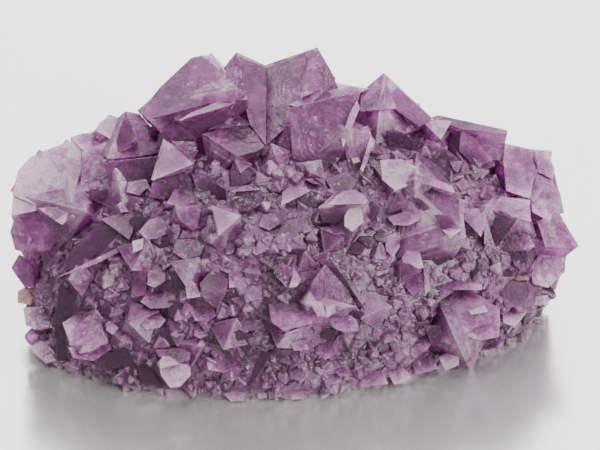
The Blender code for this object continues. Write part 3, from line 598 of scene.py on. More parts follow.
    Facet("grey_triangle", ((130, 300), (142, 305), (158, 311), (130, 322)), (0.1, -0.9), 0.7, Skin.GREY),
    Facet("grey_triangle_foot", ((141, 325), (150, 315), (159, 313), (166, 320), (160, 328), (146, 330)),
          (0.0, -0.5), 0.5, Skin.LILAC),
    Facet("front_flat", ((155, 350), (186, 347), (191, 353), (190, 361), (178, 363), (168, 353),
          (158, 357)), (0.0, -0.3), 0.4),
    Facet("front_light", ((158, 362), (163, 357), (178, 364), (190, 366), (191, 375), (180, 387),
          (170, 388), (161, 376)), (0.0, -0.3), 0.8, Skin.LILAC),
    Facet("front_cap", ((159, 362), (163, 356), (170, 356), (179, 364), (166, 364), (160, 369)),
          (0.0, -0.8), 0.3, Skin.MILKY),
    Facet("front_dark", ((134, 362), (147, 362), (153, 377), (164, 388), (151, 390), (139, 379)),
          (0.2, 0.1), 0.3, Skin.DEEP),
    Facet("front_foot", ((164, 389), (186, 386), (191, 395), (184, 404), (168, 402)), (0.0, -0.1), 0.3,
          Skin.LILAC),
    Facet("heap_centre", ((190, 311), (201, 305), (214, 308), (217, 315), (208, 322), (195, 321)),
          (0.0, -0.6), 0.5, Skin.PALE),
    Facet("heap_low", ((194, 330), (207, 328), (208, 336), (200, 339), (194, 336)), (0.0, -0.6), 0.5,
          Skin.PALE),
    Facet("heap_front", ((206, 362), (215, 357), (229, 353), (239, 363), (240, 370), (224, 373),
          (208, 370)), (0.0, -0.6), 0.5, Skin.PALE),
    Facet("heap_hole", ((227, 330), (250, 333), (256, 336), (240, 341), (228, 340)), (0.0, 0.4), 0.2,
          Skin.DARK),
    Facet("heap_grey", ((236, 320), (262, 319), (265, 328), (245, 333), (236, 329)), (0.0, -0.7), 0.5,
          Skin.GREY),
    Facet("rim_chip_a", ((222, 393), (235, 391), (246, 393), (243, 401), (231, 402)), (0.0, -0.2), 0.5,
          Skin.MILKY),
    Facet("rim_chip_b", ((257, 393), (268, 392), (267, 398), (258, 399)), (0.0, -0.2), 0.5, Skin.MILKY),
    Facet("rim_chip_c", ((290, 392), (307, 390), (303, 399), (291, 400)), (0.0, -0.2), 0.5, Skin.MILKY),
    Facet("rim_chip_d", ((334, 371), (342, 367), (351, 375), (340, 377)), (0.0, -0.6), 0.6, Skin.MILKY),
    Facet("rim_chip_e", ((384, 368), (398, 361), (412, 377), (405, 383), (394, 385)), (0.1, -0.5), 0.5,
          Skin.MILKY),
    Facet("rim_chip_f", ((438, 357), (450, 351), (459, 353), (459, 365), (445, 371)), (0.0, -0.4), 0.6,
          Skin.MILKY),
    Facet("rim_pink", ((360, 372), (384, 370), (388, 384), (360, 388)), (0.0, -0.3), 0.3, Skin.PALE),
    Facet("right_low_pale", ((408, 341), (425, 335), (431, 345), (425, 352), (410, 354)), (0.0, -0.5), 0.5,
          Skin.PALE),
    Facet("right_low_foot", ((410, 356), (430, 353), (439, 369), (415, 375)), (0.0, -0.2), 0.4, Skin.LILAC),
    Facet("right_low_dark", ((423, 325), (440, 325), (442, 337), (449, 346), (432, 346)), (0.0, 0.2), 0.3,
          Skin.DEEP),
    Facet("violet_body", ((431, 292), (442, 287), (461, 286), (481, 296), (500, 309), (500, 322),
          (470, 329), (455, 325)), (0.0, -0.4), 0.5, Skin.LILAC),
    Facet("violet_body_top", ((432, 282), (455, 280), (482, 284), (482, 290), (460, 286), (438, 290)),
          (0.0, -1.2), 0.4, Skin.PALE),
    Facet("violet_body_foot", ((463, 326), (500, 322), (499, 337), (480, 341), (466, 336)), (0.0, -0.5),
          0.4, Skin.PALE),
    Facet("violet_body_glint", ((468, 311), (485, 305), (488, 312), (471, 315)), (0.0, -0.7), 0.3,
          Skin.MILKY),
    Facet("dark_lump", ((472, 352), (476, 343), (498, 337), (505, 340), (495, 348)), (0.0, -0.1), 0.3,
          Skin.DARK),
    Facet("right_low_block", ((498, 284), (512, 280), (530, 283), (535, 290), (531, 307), (505, 308)),
          (0.0, -0.2), 0.4, Skin.GREY),
    Facet("right_low_white", ((502, 311), (515, 310), (527, 312), (515, 328), (503, 323)), (0.0, -0.4), 0.4,
          Skin.MILKY),
    Facet("right_low_clear", ((535, 296), (548, 295), (549, 305), (534, 305)), (-0.2, -0.3), 0.4,
          Skin.MILKY),
    Facet("right_hole", ((499, 271), (517, 270), (512, 277), (500, 276)), (0.0, 0.4), 0.2, Skin.DARK),
    Facet("seam", ((511, 277), (518, 275), (529, 277), (529, 280), (517, 281)), (0.0, -0.9), 0.3,
          Skin.SANDY),
)

COMPANIONS = (
    Companion("left_ridge", -0.12, 0.26, 1.3, 1.0),
    Companion("summit", 0.08, 0.42, -0.1, 0.95),
    Companion("summit", 0.3, 0.3, 0.25, 0.6),
    Companion("dark_block", -0.3, 0.25, -0.15, 0.9),
    Companion("right_peak", 0.3, 0.15, -0.2, 0.8),
    Companion("right_peak", 0.35, 0.4, 0.3, 0.5),
    Companion("right_shoulder", -0.2, 0.35, -0.15, 0.8),
    Companion("right_flank", 0.0, 0.35, -0.2, 0.75),
    Companion("pale_slope", -0.1, -0.3, 0.3, 0.7),
    Companion("left_shoulder", -0.15, 0.3, 0.25, 0.8),
    Companion("pale_left", -0.2, 0.2, -0.2, 0.9),
    Companion("grey_plane", 0.1, 0.3, -0.2, 0.8),
    Companion("pale_violet", 0.3, -0.2, 0.3, 0.7),
    Companion("left_tip", -0.25, 0.3, 0.2, 0.75),
)


def looks(skin: Skin, rest: Skin) -> dict[str, float]:
    """Return what a crystal's set face and its other faces carry."""
    return {"face_tone": skin.tone, "face_frost": skin.frost,
            "rest_tone": rest.tone, "rest_frost": rest.frost}


def colour(code: str) -> tuple[float, float, float, float]:
    """Turn a hexadecimal screen colour into linear light.

    Args:
        code: Six hexadecimal digits.

    Returns:
        Red, green, blue and an alpha of one.
    """
    parts = [int(code[start:start + 2], 16) / 255 for start in (0, 2, 4)]
    linear = [part / 12.92 if part <= 0.04045 else ((part + 0.055) / 1.055) ** 2.4 for part in parts]
    return (*linear, 1.0)


def linked(name: str, mesh: bpy.types.Mesh) -> bpy.types.Object:
    """Make an object of a mesh in the scene.

    Args:
        name: The object's name.
        mesh: Its mesh.

    Returns:
        The object.
    """
    thing = bpy.data.objects.new(name, mesh)
    bpy.context.collection.objects.link(thing)
    return thing


def closed(bm: bmesh.types.BMesh, name: str) -> bpy.types.Mesh:
    """Turn a closed shape's faces outwards and make a mesh of it.

    Args:
        bm: The shape, which is freed.
        name: The mesh's name.

    Returns:
        The mesh.
    """
    bmesh.ops.recalc_face_normals(bm, faces=bm.faces)
    mesh = bpy.data.meshes.new(name)
    bm.to_mesh(mesh)
    bm.free()
    return mesh


def loose_triangles(mesh: bpy.types.Mesh) -> Triangles:
    """Return a mesh's triangles, each as its own three corners."""
    return [[mesh.vertices[k].co.copy() for k in face.vertices] for face in mesh.polygons]


def surface(triangles: Triangles) -> BVHTree:
    """Make a search tree of loose triangles.

    Args:
        triangles: The corners of each triangle.

    Returns:
        The tree.
    """
    corners = [corner for triangle in triangles for corner in triangle]
    faces = [(3 * index, 3 * index + 1, 3 * index + 2) for index in range(len(triangles))]
    return BVHTree.FromPolygons(corners, faces)


@dataclass(frozen=True)
class Waves:
    """A noise texture: waves in a metre, octaves, how strong the finer ones are, and how far bent."""

    scale: float
    detail: float = 3.0
    roughness: float = 0.5
    bend: float = 0.0


@dataclass(frozen=True)
class Step:
    """A smooth step: the values between which it rises or falls, and what it gives at each end."""

    low: float
    high: float
    first: float = 0.0
    last: float = 1.0


class Nodes:
    """Adds linked nodes to a node tree."""

    def __init__(self, tree: bpy.types.NodeTree) -> None:
        """Keep the tree and empty it."""
        self.tree = tree
        tree.nodes.clear()

    def add(self, kind: str, inputs: dict | None = None, **settings) -> bpy.types.Node:
        """Add a node.

        Args:
            kind: The node's type.
            inputs: Values or sockets by the input's name or index.
            settings: The node's own settings.

        Returns:
            The node.
        """
        node = self.tree.nodes.new(kind)
        for name, value in settings.items():
            setattr(node, name, value)
        for key, value in (inputs or {}).items():
            self.feed(node.inputs[key], value)
        return node

    def feed(self, socket: Socket, value: object) -> None:
        """Link a socket to an input, or set its value.

        Args:
            socket: The input.
            value: An output socket or a plain value.
        """
        if isinstance(value, Socket):
            self.tree.links.new(value, socket)
        else:
            socket.default_value = value

    def math(self, operation: str, *values: Socket | float) -> Socket:
        """Return the result of a Math node."""
        return self.add("ShaderNodeMath", dict(enumerate(values)), operation=operation).outputs[0]

    def vector(self, operation: str, *values: Socket | tuple) -> bpy.types.Node:
        """Return a Vector Math node."""
        return self.add("ShaderNodeVectorMath", dict(enumerate(values)), operation=operation)

    def dot(self, first: Socket, second: Socket | tuple) -> Socket:
        """Return the dot product of two vectors."""
        return self.vector("DOT_PRODUCT", first, second).outputs["Value"]

    def blend(self, factor: Socket, first: Socket | float, second: Socket | float) -> Socket:
        """Return a mix of two numbers."""
        return self.add("ShaderNodeMix", {"Factor": factor, 2: first, 3: second}).outputs[0]


class ShaderNodes(Nodes):
    """Short forms for the nodes of a material, whose place is that on the piece, in its own frame."""

    def __init__(self, tree: bpy.types.NodeTree) -> None:
        """Keep the tree, empty it and add the place."""
        super().__init__(tree)
        self.place = self.add("ShaderNodeTexCoord").outputs["Object"]

    def carried(self, name: str, output: str = "Fac") -> Socket:
        """Return what the mesh carries under a name, as a number or by the output Vector."""
        node = self.add("ShaderNodeAttribute", attribute_name=name, attribute_type="GEOMETRY")
        return node.outputs[output]

    def ramp(self, value: Socket, step: Step) -> Socket:
        """Return what a smooth step makes of a value."""
        inputs = {"Value": value, "From Min": step.low, "From Max": step.high,
                  "To Min": step.first, "To Max": step.last}
        return self.add("ShaderNodeMapRange", inputs, interpolation_type="SMOOTHSTEP").outputs["Result"]

    def mix(self, factor: Socket, first: Socket | tuple, second: Socket | tuple) -> Socket:
        """Return a mix of two colours."""
        inputs = {"Factor": factor, 6: first, 7: second}
        return self.add("ShaderNodeMix", inputs, data_type="RGBA").outputs[2]

    def noise(self, waves: Waves) -> Socket:
        """Return the value of a noise texture, from 0 to 1."""
        inputs = {"Vector": self.place, "Scale": waves.scale, "Detail": waves.detail,
                  "Roughness": waves.roughness, "Distortion": waves.bend}
        return self.add("ShaderNodeTexNoise", inputs).outputs["Fac"]

    def stepped(self, waves: Waves, step: Step) -> Socket:
        """Return what a smooth step makes of a noise texture."""
        return self.ramp(self.noise(waves), step)

    def clamp(self, value: Socket) -> Socket:
        """Return a value kept between 0 and 1."""
        return self.add("ShaderNodeClamp", {"Value": value}).outputs[0]


@dataclass(frozen=True)
class FluoriteFinish:
    """Violet fluorite: clear and glossy where smooth, grey and matt where frosted.

    The stone goes from deep to milky as its tone rises. Lengths are in metres.
    """

    deep: str = "67355f"
    violet: str = "a05696"
    lilac: str = "cf8dc6"
    milky: str = "f2cfe6"
    to_violet: Step = Step(-1.0, 0.0)
    to_lilac: Step = Step(0.0, 0.6)
    to_milky: Step = Step(0.6, 1.1)
    # Milky along the crystals' edges: partly real wear, partly a painted highlight.
    worn_and_lit_edge: Step = Step(0.0, 0.00035, 0.25, 0.0)
    frost: str = "5d545b"
    frost_share: float = 0.65
    sand: str = "e6c69a"
    sand_share: float = 0.5
    foot: str = "e2c0d4"
    foot_waves: Waves = Waves(200.0)
    foot_reach: float = 0.003
    foot_share: Step = Step(0.0016, 0.0032, 0.85, 0.0)

    clouds: Waves = Waves(160.0, 3.0, 0.55, 0.4)
    cloud_tone: Step = Step(0.3, 0.7, -0.5, 0.45)
    # Paler near the edges and darker in the middles of faces: painted light and shade.
    edge_light_and_shade: Step = Step(0.0, 0.003, 0.3, -0.35)
    # Darker close to the body, in the hollows between crystals: painted shade.
    hollow_shade_tone: Step = Step(0.0, 0.003, -0.95, 0.15)
    veils: Waves = Waves(480.0, 5.0, 0.7, 1.2)
    veil_tone: Step = Step(0.32, 0.7, -0.35, 0.35)
    grain_scale: float = 1500.0
    grain_waves: float = 600.0
    grain_bend: float = 0.0006
    grain_tone: float = 0.35
    # Pale flecks strewn in patches: partly milky specks, partly painted sparkle standing for glints.
    flecks: Waves = Waves(1700.0, 3.0, 0.6)
    fleck_tone: Step = Step(0.6, 0.7, 0.0, 0.8)
    strewn: Waves = Waves(190.0, 2.0)
    strewn_share: Step = Step(0.42, 0.62, 0.1, 1.0)
    facet_margin: float = 0.0004

    clearness: float = 0.75
    frost_clearness: float = 0.05
    ior: float = 1.434
    absorbed: tuple[float, float, float, float] = (0.62, 0.12, 0.6, 1.0)
    density: float = 300.0
    patches: Waves = Waves(420.0, 4.0, 0.65)
    patch_share: Step = Step(0.35, 0.7, 0.6, 1.5)
    haze: Waves = Waves(700.0, 3.0, 0.6)
    haze_roughness: Step = Step(0.3, 0.7, 0.1, 0.3)
    frost_roughness: float = 0.6

    steps_waves: Waves = Waves(500.0, 2.0)
    steps_bend: float = 0.0009
    steps_width: float = 0.00035
    steps_height: float = 0.12
    pits: Waves = Waves(3500.0, 3.0, 0.6)
    pit_depth: float = 0.0001
    broken: Waves = Waves(260.0, 3.0, 0.6)
    broken_tilt: Step = Step(0.4, 0.65, 0.12, 0.8)
    relief_strength: float = 0.5

    def material(self) -> bpy.types.Material:
        """Make the material.

        Returns:
            The material, which reads what each face carries.
        """
        material = bpy.data.materials.new("violet_fluorite")
        material.use_nodes = True
        nodes = ShaderNodes(material.node_tree)
        edge = self.edge_distance(nodes)
        frost = self.frosting(nodes)
        haze = nodes.stepped(self.haze, self.haze_roughness)
        shader = nodes.add("ShaderNodeBsdfPrincipled", {
            "Base Color": self.base(nodes, self.tone(nodes, edge), frost, edge),
            "Roughness": nodes.blend(frost, haze, self.frost_roughness),
            "IOR": self.ior,
            "Transmission Weight": nodes.blend(frost, self.clearness, self.frost_clearness),
            "Normal": self.relief(nodes, edge),
        })
        volume = nodes.add("ShaderNodeVolumeAbsorption", {"Color": self.absorbed, "Density": self.density})
        nodes.add("ShaderNodeOutputMaterial", {
            "Surface": shader.outputs["BSDF"],
            "Volume": volume.outputs["Volume"],
        })
        return material

    def edge_distance(self, nodes: ShaderNodes) -> Socket:
        """Make the distance to the nearest edge of the crystal or flat face.

        Args:
            nodes: The material's nodes.

        Returns:
            The distance in metres.
        """
        offset = nodes.vector("SUBTRACT", nodes.place, nodes.carried("middle", "Vector")).outputs[0]
        first = nodes.carried("first", "Vector")
        second = nodes.carried("second", "Vector")
        third = nodes.vector("CROSS_PRODUCT", first, second).outputs[0]
        arms = [nodes.math("ABSOLUTE", nodes.dot(offset, axis)) for axis in (first, second, third)]
        crystal = nodes.math("MINIMUM", nodes.math("MINIMUM", arms[0], arms[1]), arms[2])
        span = nodes.carried("span")
        facet = nodes.math("SUBTRACT", span, nodes.vector("LENGTH", offset).outputs["Value"])
        facet = nodes.math("ADD", nodes.math("MAXIMUM", facet, 0.0), self.facet_margin)
        return nodes.blend(nodes.math("GREATER_THAN", span, 0.0), crystal, facet)

    def tone(self, nodes: ShaderNodes, edge: Socket) -> Socket:
        """Make the stone's tone: what the face carries, clouds, veils, grains and flecks, with paler edges
        and darker face middles as painted light and shade, darker near the body as painted shade in the
        hollows, and flecks partly as painted sparkle.

        Args:
            nodes: The material's nodes.
            edge: The distance to the nearest edge.

        Returns:
            The tone, from dark (-1) to pale (1).
        """
        tone = nodes.carried("tone")
        tone = nodes.math("ADD", tone, nodes.stepped(self.clouds, self.cloud_tone))
        # Painted light and shade: paler edges, darker face middles.
        tone = nodes.math("ADD", tone, nodes.ramp(edge, self.edge_light_and_shade))
        # Painted shade: darker low down near the body, in the hollows.
        tone = nodes.math("ADD", tone, nodes.ramp(nodes.carried("height"), self.hollow_shade_tone))
        tone = nodes.math("ADD", tone, nodes.stepped(self.veils, self.veil_tone))
        grain = nodes.math("SUBTRACT", self.grains(nodes).outputs["Color"], 0.5)
        tone = nodes.math("MULTIPLY_ADD", grain, self.grain_tone, tone)
        # Flecks, partly milky specks and partly painted sparkle.
        flecks = nodes.stepped(self.flecks, self.fleck_tone)
        strewn = nodes.stepped(self.strewn, self.strewn_share)
        return nodes.math("ADD", tone, nodes.math("MULTIPLY", flecks, strewn))

    def grains(self, nodes: ShaderNodes) -> bpy.types.Node:
        """Make cells the size of the finest crystals, bent a little.

        Args:
            nodes: The material's nodes.

        Returns:
            The node of the cells.
        """
        waves = nodes.add("ShaderNodeTexNoise", {"Vector": nodes.place, "Scale": self.grain_waves})
        bend = (self.grain_bend,) * 3
        bent = nodes.vector("MULTIPLY_ADD", waves.outputs["Color"], bend, nodes.place).outputs[0]
        return nodes.add("ShaderNodeTexVoronoi", {"Vector": bent, "Scale": self.grain_scale})

    def frosting(self, nodes: ShaderNodes) -> Socket:
        """Return how frosted the surface is, from 0 to 1: what the face carries, broken into patches."""
        patches = nodes.stepped(self.patches, self.patch_share)
        return nodes.clamp(nodes.math("MULTIPLY", nodes.carried("frost"), patches))

    def base(self, nodes: ShaderNodes, tone: Socket, frost: Socket, edge: Socket) -> Socket:
        """Make the colour of the stone, paler along the edges, partly real wear and partly a painted
        highlight, and along the foot.

        Args:
            nodes: The material's nodes.
            tone: How pale the stone is.
            frost: How frosted it is.
            edge: The distance to the nearest edge.

        Returns:
            The colour.
        """
        shade = nodes.mix(nodes.ramp(tone, self.to_violet), colour(self.deep), colour(self.violet))
        shade = nodes.mix(nodes.ramp(tone, self.to_lilac), shade, colour(self.lilac))
        shade = nodes.mix(nodes.ramp(tone, self.to_milky), shade, colour(self.milky))
        # Paler along the edges: partly real wear, partly a painted highlight.
        shade = nodes.mix(nodes.ramp(edge, self.worn_and_lit_edge), shade, colour(self.milky))
        sand = nodes.math("MULTIPLY", nodes.carried("sand"), self.sand_share)
        shade = nodes.mix(sand, shade, colour(self.sand))
        low = nodes.add("ShaderNodeSeparateXYZ", {"Vector": nodes.place}).outputs["Z"]
        uneven = nodes.math("MULTIPLY_ADD", nodes.noise(self.foot_waves), self.foot_reach, low)
        shade = nodes.mix(nodes.ramp(uneven, self.foot_share), shade, colour(self.foot))
        return nodes.mix(nodes.math("MULTIPLY", frost, self.frost_share), shade, colour(self.frost))

    def relief(self, nodes: ShaderNodes, edge: Socket) -> Socket:
        """Make the fine relief: growth steps along the edges, pits, and tilted grains in patches.

        Args:
            nodes: The material's nodes.
            edge: The distance to the nearest edge.

        Returns:
            The normal.
        """
        bent = nodes.math("MULTIPLY_ADD", nodes.noise(self.steps_waves), self.steps_bend, edge)
        steps = nodes.math("PINGPONG", bent, self.steps_width)
        pits = nodes.math("MULTIPLY", nodes.noise(self.pits), self.pit_depth)
        height = nodes.math("MULTIPLY_ADD", steps, self.steps_height, pits)
        cells = self.grains(nodes)
        tilt = nodes.vector("SUBTRACT", cells.outputs["Color"], (0.5, 0.5, 0.5)).outputs[0]
        offset = nodes.vector("SUBTRACT", nodes.place, cells.outputs["Position"]).outputs[0]
        broken = nodes.stepped(self.broken, self.broken_tilt)
        height = nodes.math("MULTIPLY_ADD", nodes.dot(offset, tilt), broken, height)
        bump = {"Height": height, "Strength": self.relief_strength, "Distance": 1.0}
        return nodes.add("ShaderNodeBump", bump).outputs[0]


@dataclass
class Dome:
    """The low domed body that the crystals grow from, by its rim seen from above, in millimetres."""

    rim: tuple[tuple[float, float, float], ...] = (
        (0.0, -20.0, 1.5), (-20.0, -19.0, 1.5), (-33.5, -13.5, 2.0), (-39.5, -5.5, 3.0),
        (-41.0, 8.0, 3.5), (-33.0, 20.0, 4.0), (-17.0, 25.0, 3.0), (2.0, 26.0, 3.0),
        (20.0, 24.0, 4.0), (33.0, 17.0, 5.0), (39.0, 8.0, 6.5), (36.0, -1.5, 6.5),
        (28.5, -7.5, 6.0), (16.5, -14.0, 3.5),
    )
    crown: tuple[float, float, float] = (1.0, 8.0, 30.5)
    rim_steps: int = 2
    rings: int = 6
    squareness: float = 2.3
    foot_scale: float = 0.93
    cut_depth: float = 6.0

    def smooth_rim(self) -> list[Vector]:
        """Draw a smooth closed curve through the rim's points.

        Returns:
            The curve's points.
        """
        loop = []
        count = len(self.rim)
        for index in range(count):
            p0, p1, p2, p3 = (Vector(self.rim[(index + k - 1) % count]) for k in range(4))
            for step in range(self.rim_steps):
                t = step / self.rim_steps
                loop.append(
                    0.5 * (2 * p1 + (p2 - p0) * t + (2 * p0 - 5 * p1 + 4 * p2 - p3) * t * t
                           + (3 * p1 - p0 - 3 * p2 + p3) * t * t * t)
                )
        return loop

    def mesh(self) -> bpy.types.Mesh:
        """Build the closed body in metres, reaching below the cut.

        Returns:
            The body's mesh.
        """
        rim = self.smooth_rim()
        crown = Vector(self.crown)
        rings = [[Vector((p.x * self.foot_scale, p.y * self.foot_scale, -self.cut_depth)) for p in rim]]
        for ring in range(self.rings):
            angle = math.pi / 2 * ring / self.rings
            out = math.cos(angle) ** (2 / self.squareness)
            up = math.sin(angle) ** (2 / self.squareness)
            rings.append([
                Vector((crown.x + (p.x - crown.x) * out, crown.y + (p.y - crown.y) * out,
                        p.z + (crown.z - p.z) * up))
                for p in rim
            ])
        bm = bmesh.new()
        loops = [[bm.verts.new(p * MM) for p in ring] for ring in rings]
        top = bm.verts.new(crown * MM)
        foot = bm.verts.new(Vector((crown.x, crown.y, -self.cut_depth)) * MM)
        for index in range(len(rim)):
            after = (index + 1) % len(rim)
            for low, high in zip(loops, loops[1:]):
                bm.faces.new((low[index], low[after], high[after], high[index]))
            bm.faces.new((loops[-1][index], loops[-1][after], top))
            bm.faces.new((loops[0][after], loops[0][index], foot))
        bmesh.ops.triangulate(bm, faces=bm.faces)
        return closed(bm, "dome")


@dataclass
class MainGrowth:
    """The main crystals, each set by one face of the front view, with those in line with it.

    The steps are small octahedra on their faces, with reaches and rises as shares of the crystal's.
    """

    view: FrontView
    crystals: tuple[Crystal, ...] = MAIN_CRYSTALS
    companions: tuple[Companion, ...] = COMPANIONS
    seed: int = 7
    step_count: int = 4
    step_reach: Span = (0.2, 0.6)
    step_rise: Span = (0.01, 0.05)

    def grow(self, dome: BVHTree) -> list[Grown]:
        """Place every main crystal, its companions and their steps.

        Args:
            dome: The body's surface.

        Returns:
            The placed octahedra.
        """
        rng = random.Random(self.seed)
        grown = []
        for crystal in self.crystals:
            main = self.place(crystal, dome)
            grown.append(main)
            grown += [
                self.beside(main, companion) for companion in self.companions
                if companion.of == crystal.name
            ]
        return grown + [self.step(main, rng) for main in grown for _ in range(self.step_count)]

    def place(self, crystal: Crystal, dome: BVHTree) -> Grown:
        """Place a main crystal on the body.

        The seen corners of a regular octahedron obey 3 O O - 2 O (A+B+C) + (AA+BB+CC) = 0 for its
        middle O. The two answers lean opposite ways, and the crystal's lean picks one.

        Args:
            crystal: The crystal's row.
            dome: The body's surface.

        Returns:
            The placed octahedron.
        """
        a, b, c = (complex(*corner) * MM for corner in crystal.corners)
        total = a + b + c
        root = cmath.sqrt(total * total - 3 * (a * a + b * b + c * c))
        want = crystal.lean.value.conjugate()
        middle = max(((total + root) / 3, (total - root) / 3), key=lambda o: ((total / 3 - o) * want).real)
        flat = [corner - middle for corner in (a, b, c)]
        reach = math.sqrt(sum(abs(arm) ** 2 for arm in flat) / 2)
        depths = self.depths(flat, reach)
        directions = tuple(
            self.view.vector(arm.real, arm.imag, depth).normalized() for arm, depth in zip(flat, depths)
        )
        towards = self.view.depth(dome, middle.real, middle.imag) + crystal.proud * MM
        place = self.view.point(middle.real, middle.imag, towards)
        return Grown(place, directions, reach * self.view.closeness(towards), crystal.skin, crystal.rest)

    def depths(self, flat: list[complex], reach: float) -> list[float]:
        """Return how far each arm comes towards the viewer.

        Args:
            flat: The three arms as the front view shows them.
            reach: The length of an arm.

        Returns:
            The three depths.
        """
        deepest = min(range(3), key=lambda k: abs(flat[k]))
        depth = math.sqrt(reach ** 2 - abs(flat[deepest]) ** 2)
        depths = [-(arm * flat[deepest].conjugate()).real / depth for arm in flat]
        depths[deepest] = depth
        return [-value for value in depths] if sum(depths) < 0 else depths

    def beside(self, main: Grown, companion: Companion) -> Grown:
        """Place an octahedron in line with a main one.

        Args:
            main: The main crystal.
            companion: The companion's row.

        Returns:
            The placed octahedron.
        """
        first, second, third = main.directions
        slide = (second - first) * companion.to_second + (third - first) * companion.to_third
        rise = (first + second + third).normalized() * companion.rise * MM
        middle = main.middle + slide * main.reach + rise
        return Grown(middle, main.directions, main.reach * companion.scale, main.skin, main.rest)

    def step(self, main: Grown, rng: random.Random) -> Grown:
        """Place a small octahedron that stands a little proud of a crystal's face.

        Args:
            main: The crystal.
            rng: The random numbers.

        Returns:
            The placed octahedron.
        """
        size = rng.uniform(*self.step_reach)
        shares = [rng.random() * rng.choice((-1, 1)) for _ in range(3)]
        spread = (1 + rng.uniform(*self.step_rise) - size) / sum(abs(share) for share in shares)
        offset = sum((axis * share for axis, share in zip(main.directions, shares)), Vector())
        middle = main.middle + offset * spread * main.reach
        return Grown(middle, main.directions, main.reach * size, main.skin, main.rest)

    def seeds(self, grown: list[Grown]) -> bpy.types.Object:
        """Make an object with a point for each octahedron, which carries its turn, reach and look.

        Args:
            grown: The placed octahedra.

        Returns:
            The object.
        """
        mesh = bpy.data.meshes.new("main_seeds")
        mesh.from_pydata([crystal.middle for crystal in grown], [], [])
        turns = mesh.attributes.new("turn", "QUATERNION", "POINT")
        turns.data.foreach_set("value", [part for crystal in grown for part in crystal.turn()])
        rows = [{"reach": crystal.reach, **looks(crystal.skin, crystal.rest)} for crystal in grown]
        for name in rows[0]:
            values = [row[name] for row in rows]
            mesh.attributes.new(name, "FLOAT", "POINT").data.foreach_set("value", values)
        return linked("main_seeds", mesh)


@dataclass(frozen=True)
class CrystalShape:
    """An octahedron of reach one, whose faces draw back from its worn edges by a share of the reach."""

    name: str
    worn: float
    same_way: float = 0.98
    edge_part: float = 0.5

    def build(self) -> bpy.types.Object:
        """Make the octahedron, with its set face and its worn edges marked, the edges to be made paler as a
        painted highlight.

        Returns:
            The object.
        """
        bm = bmesh.new()
        for signs in ((x, y, z) for x in (-1, 1) for y in (-1, 1) for z in (-1, 1)):
            for corner in range(3):
                arms = [self.worn, self.worn, self.worn]
                arms[corner] = 1 - 2 * self.worn
                bm.verts.new([arm * sign for arm, sign in zip(arms, signs)])
        bmesh.ops.convex_hull(bm, input=bm.verts)
        bmesh.ops.dissolve_limit(bm, angle_limit=math.radians(1.0), verts=bm.verts, edges=bm.edges)
        mesh = closed(bm, self.name)
        facing = Vector((1.0, 1.0, 1.0)).normalized()
        mark(mesh, "shown", lambda normal: normal.dot(facing) > self.same_way)
        mark(mesh, "rim", lambda normal: min(abs(part) for part in normal) < self.edge_part)
        return linked(self.name, mesh)


def mark(mesh: bpy.types.Mesh, name: str, chosen: Callable[[Vector], bool]) -> None:
    """Store one on some faces of a mesh and zero on the others.

    Args:
        mesh: The mesh.
        name: The attribute's name.
        chosen: Tells whether a face with this normal is one of them.
    """
    values = mesh.attributes.new(name, "FLOAT", "FACE")
    for face in mesh.polygons:
        values.data[face.index].value = float(chosen(face.normal))


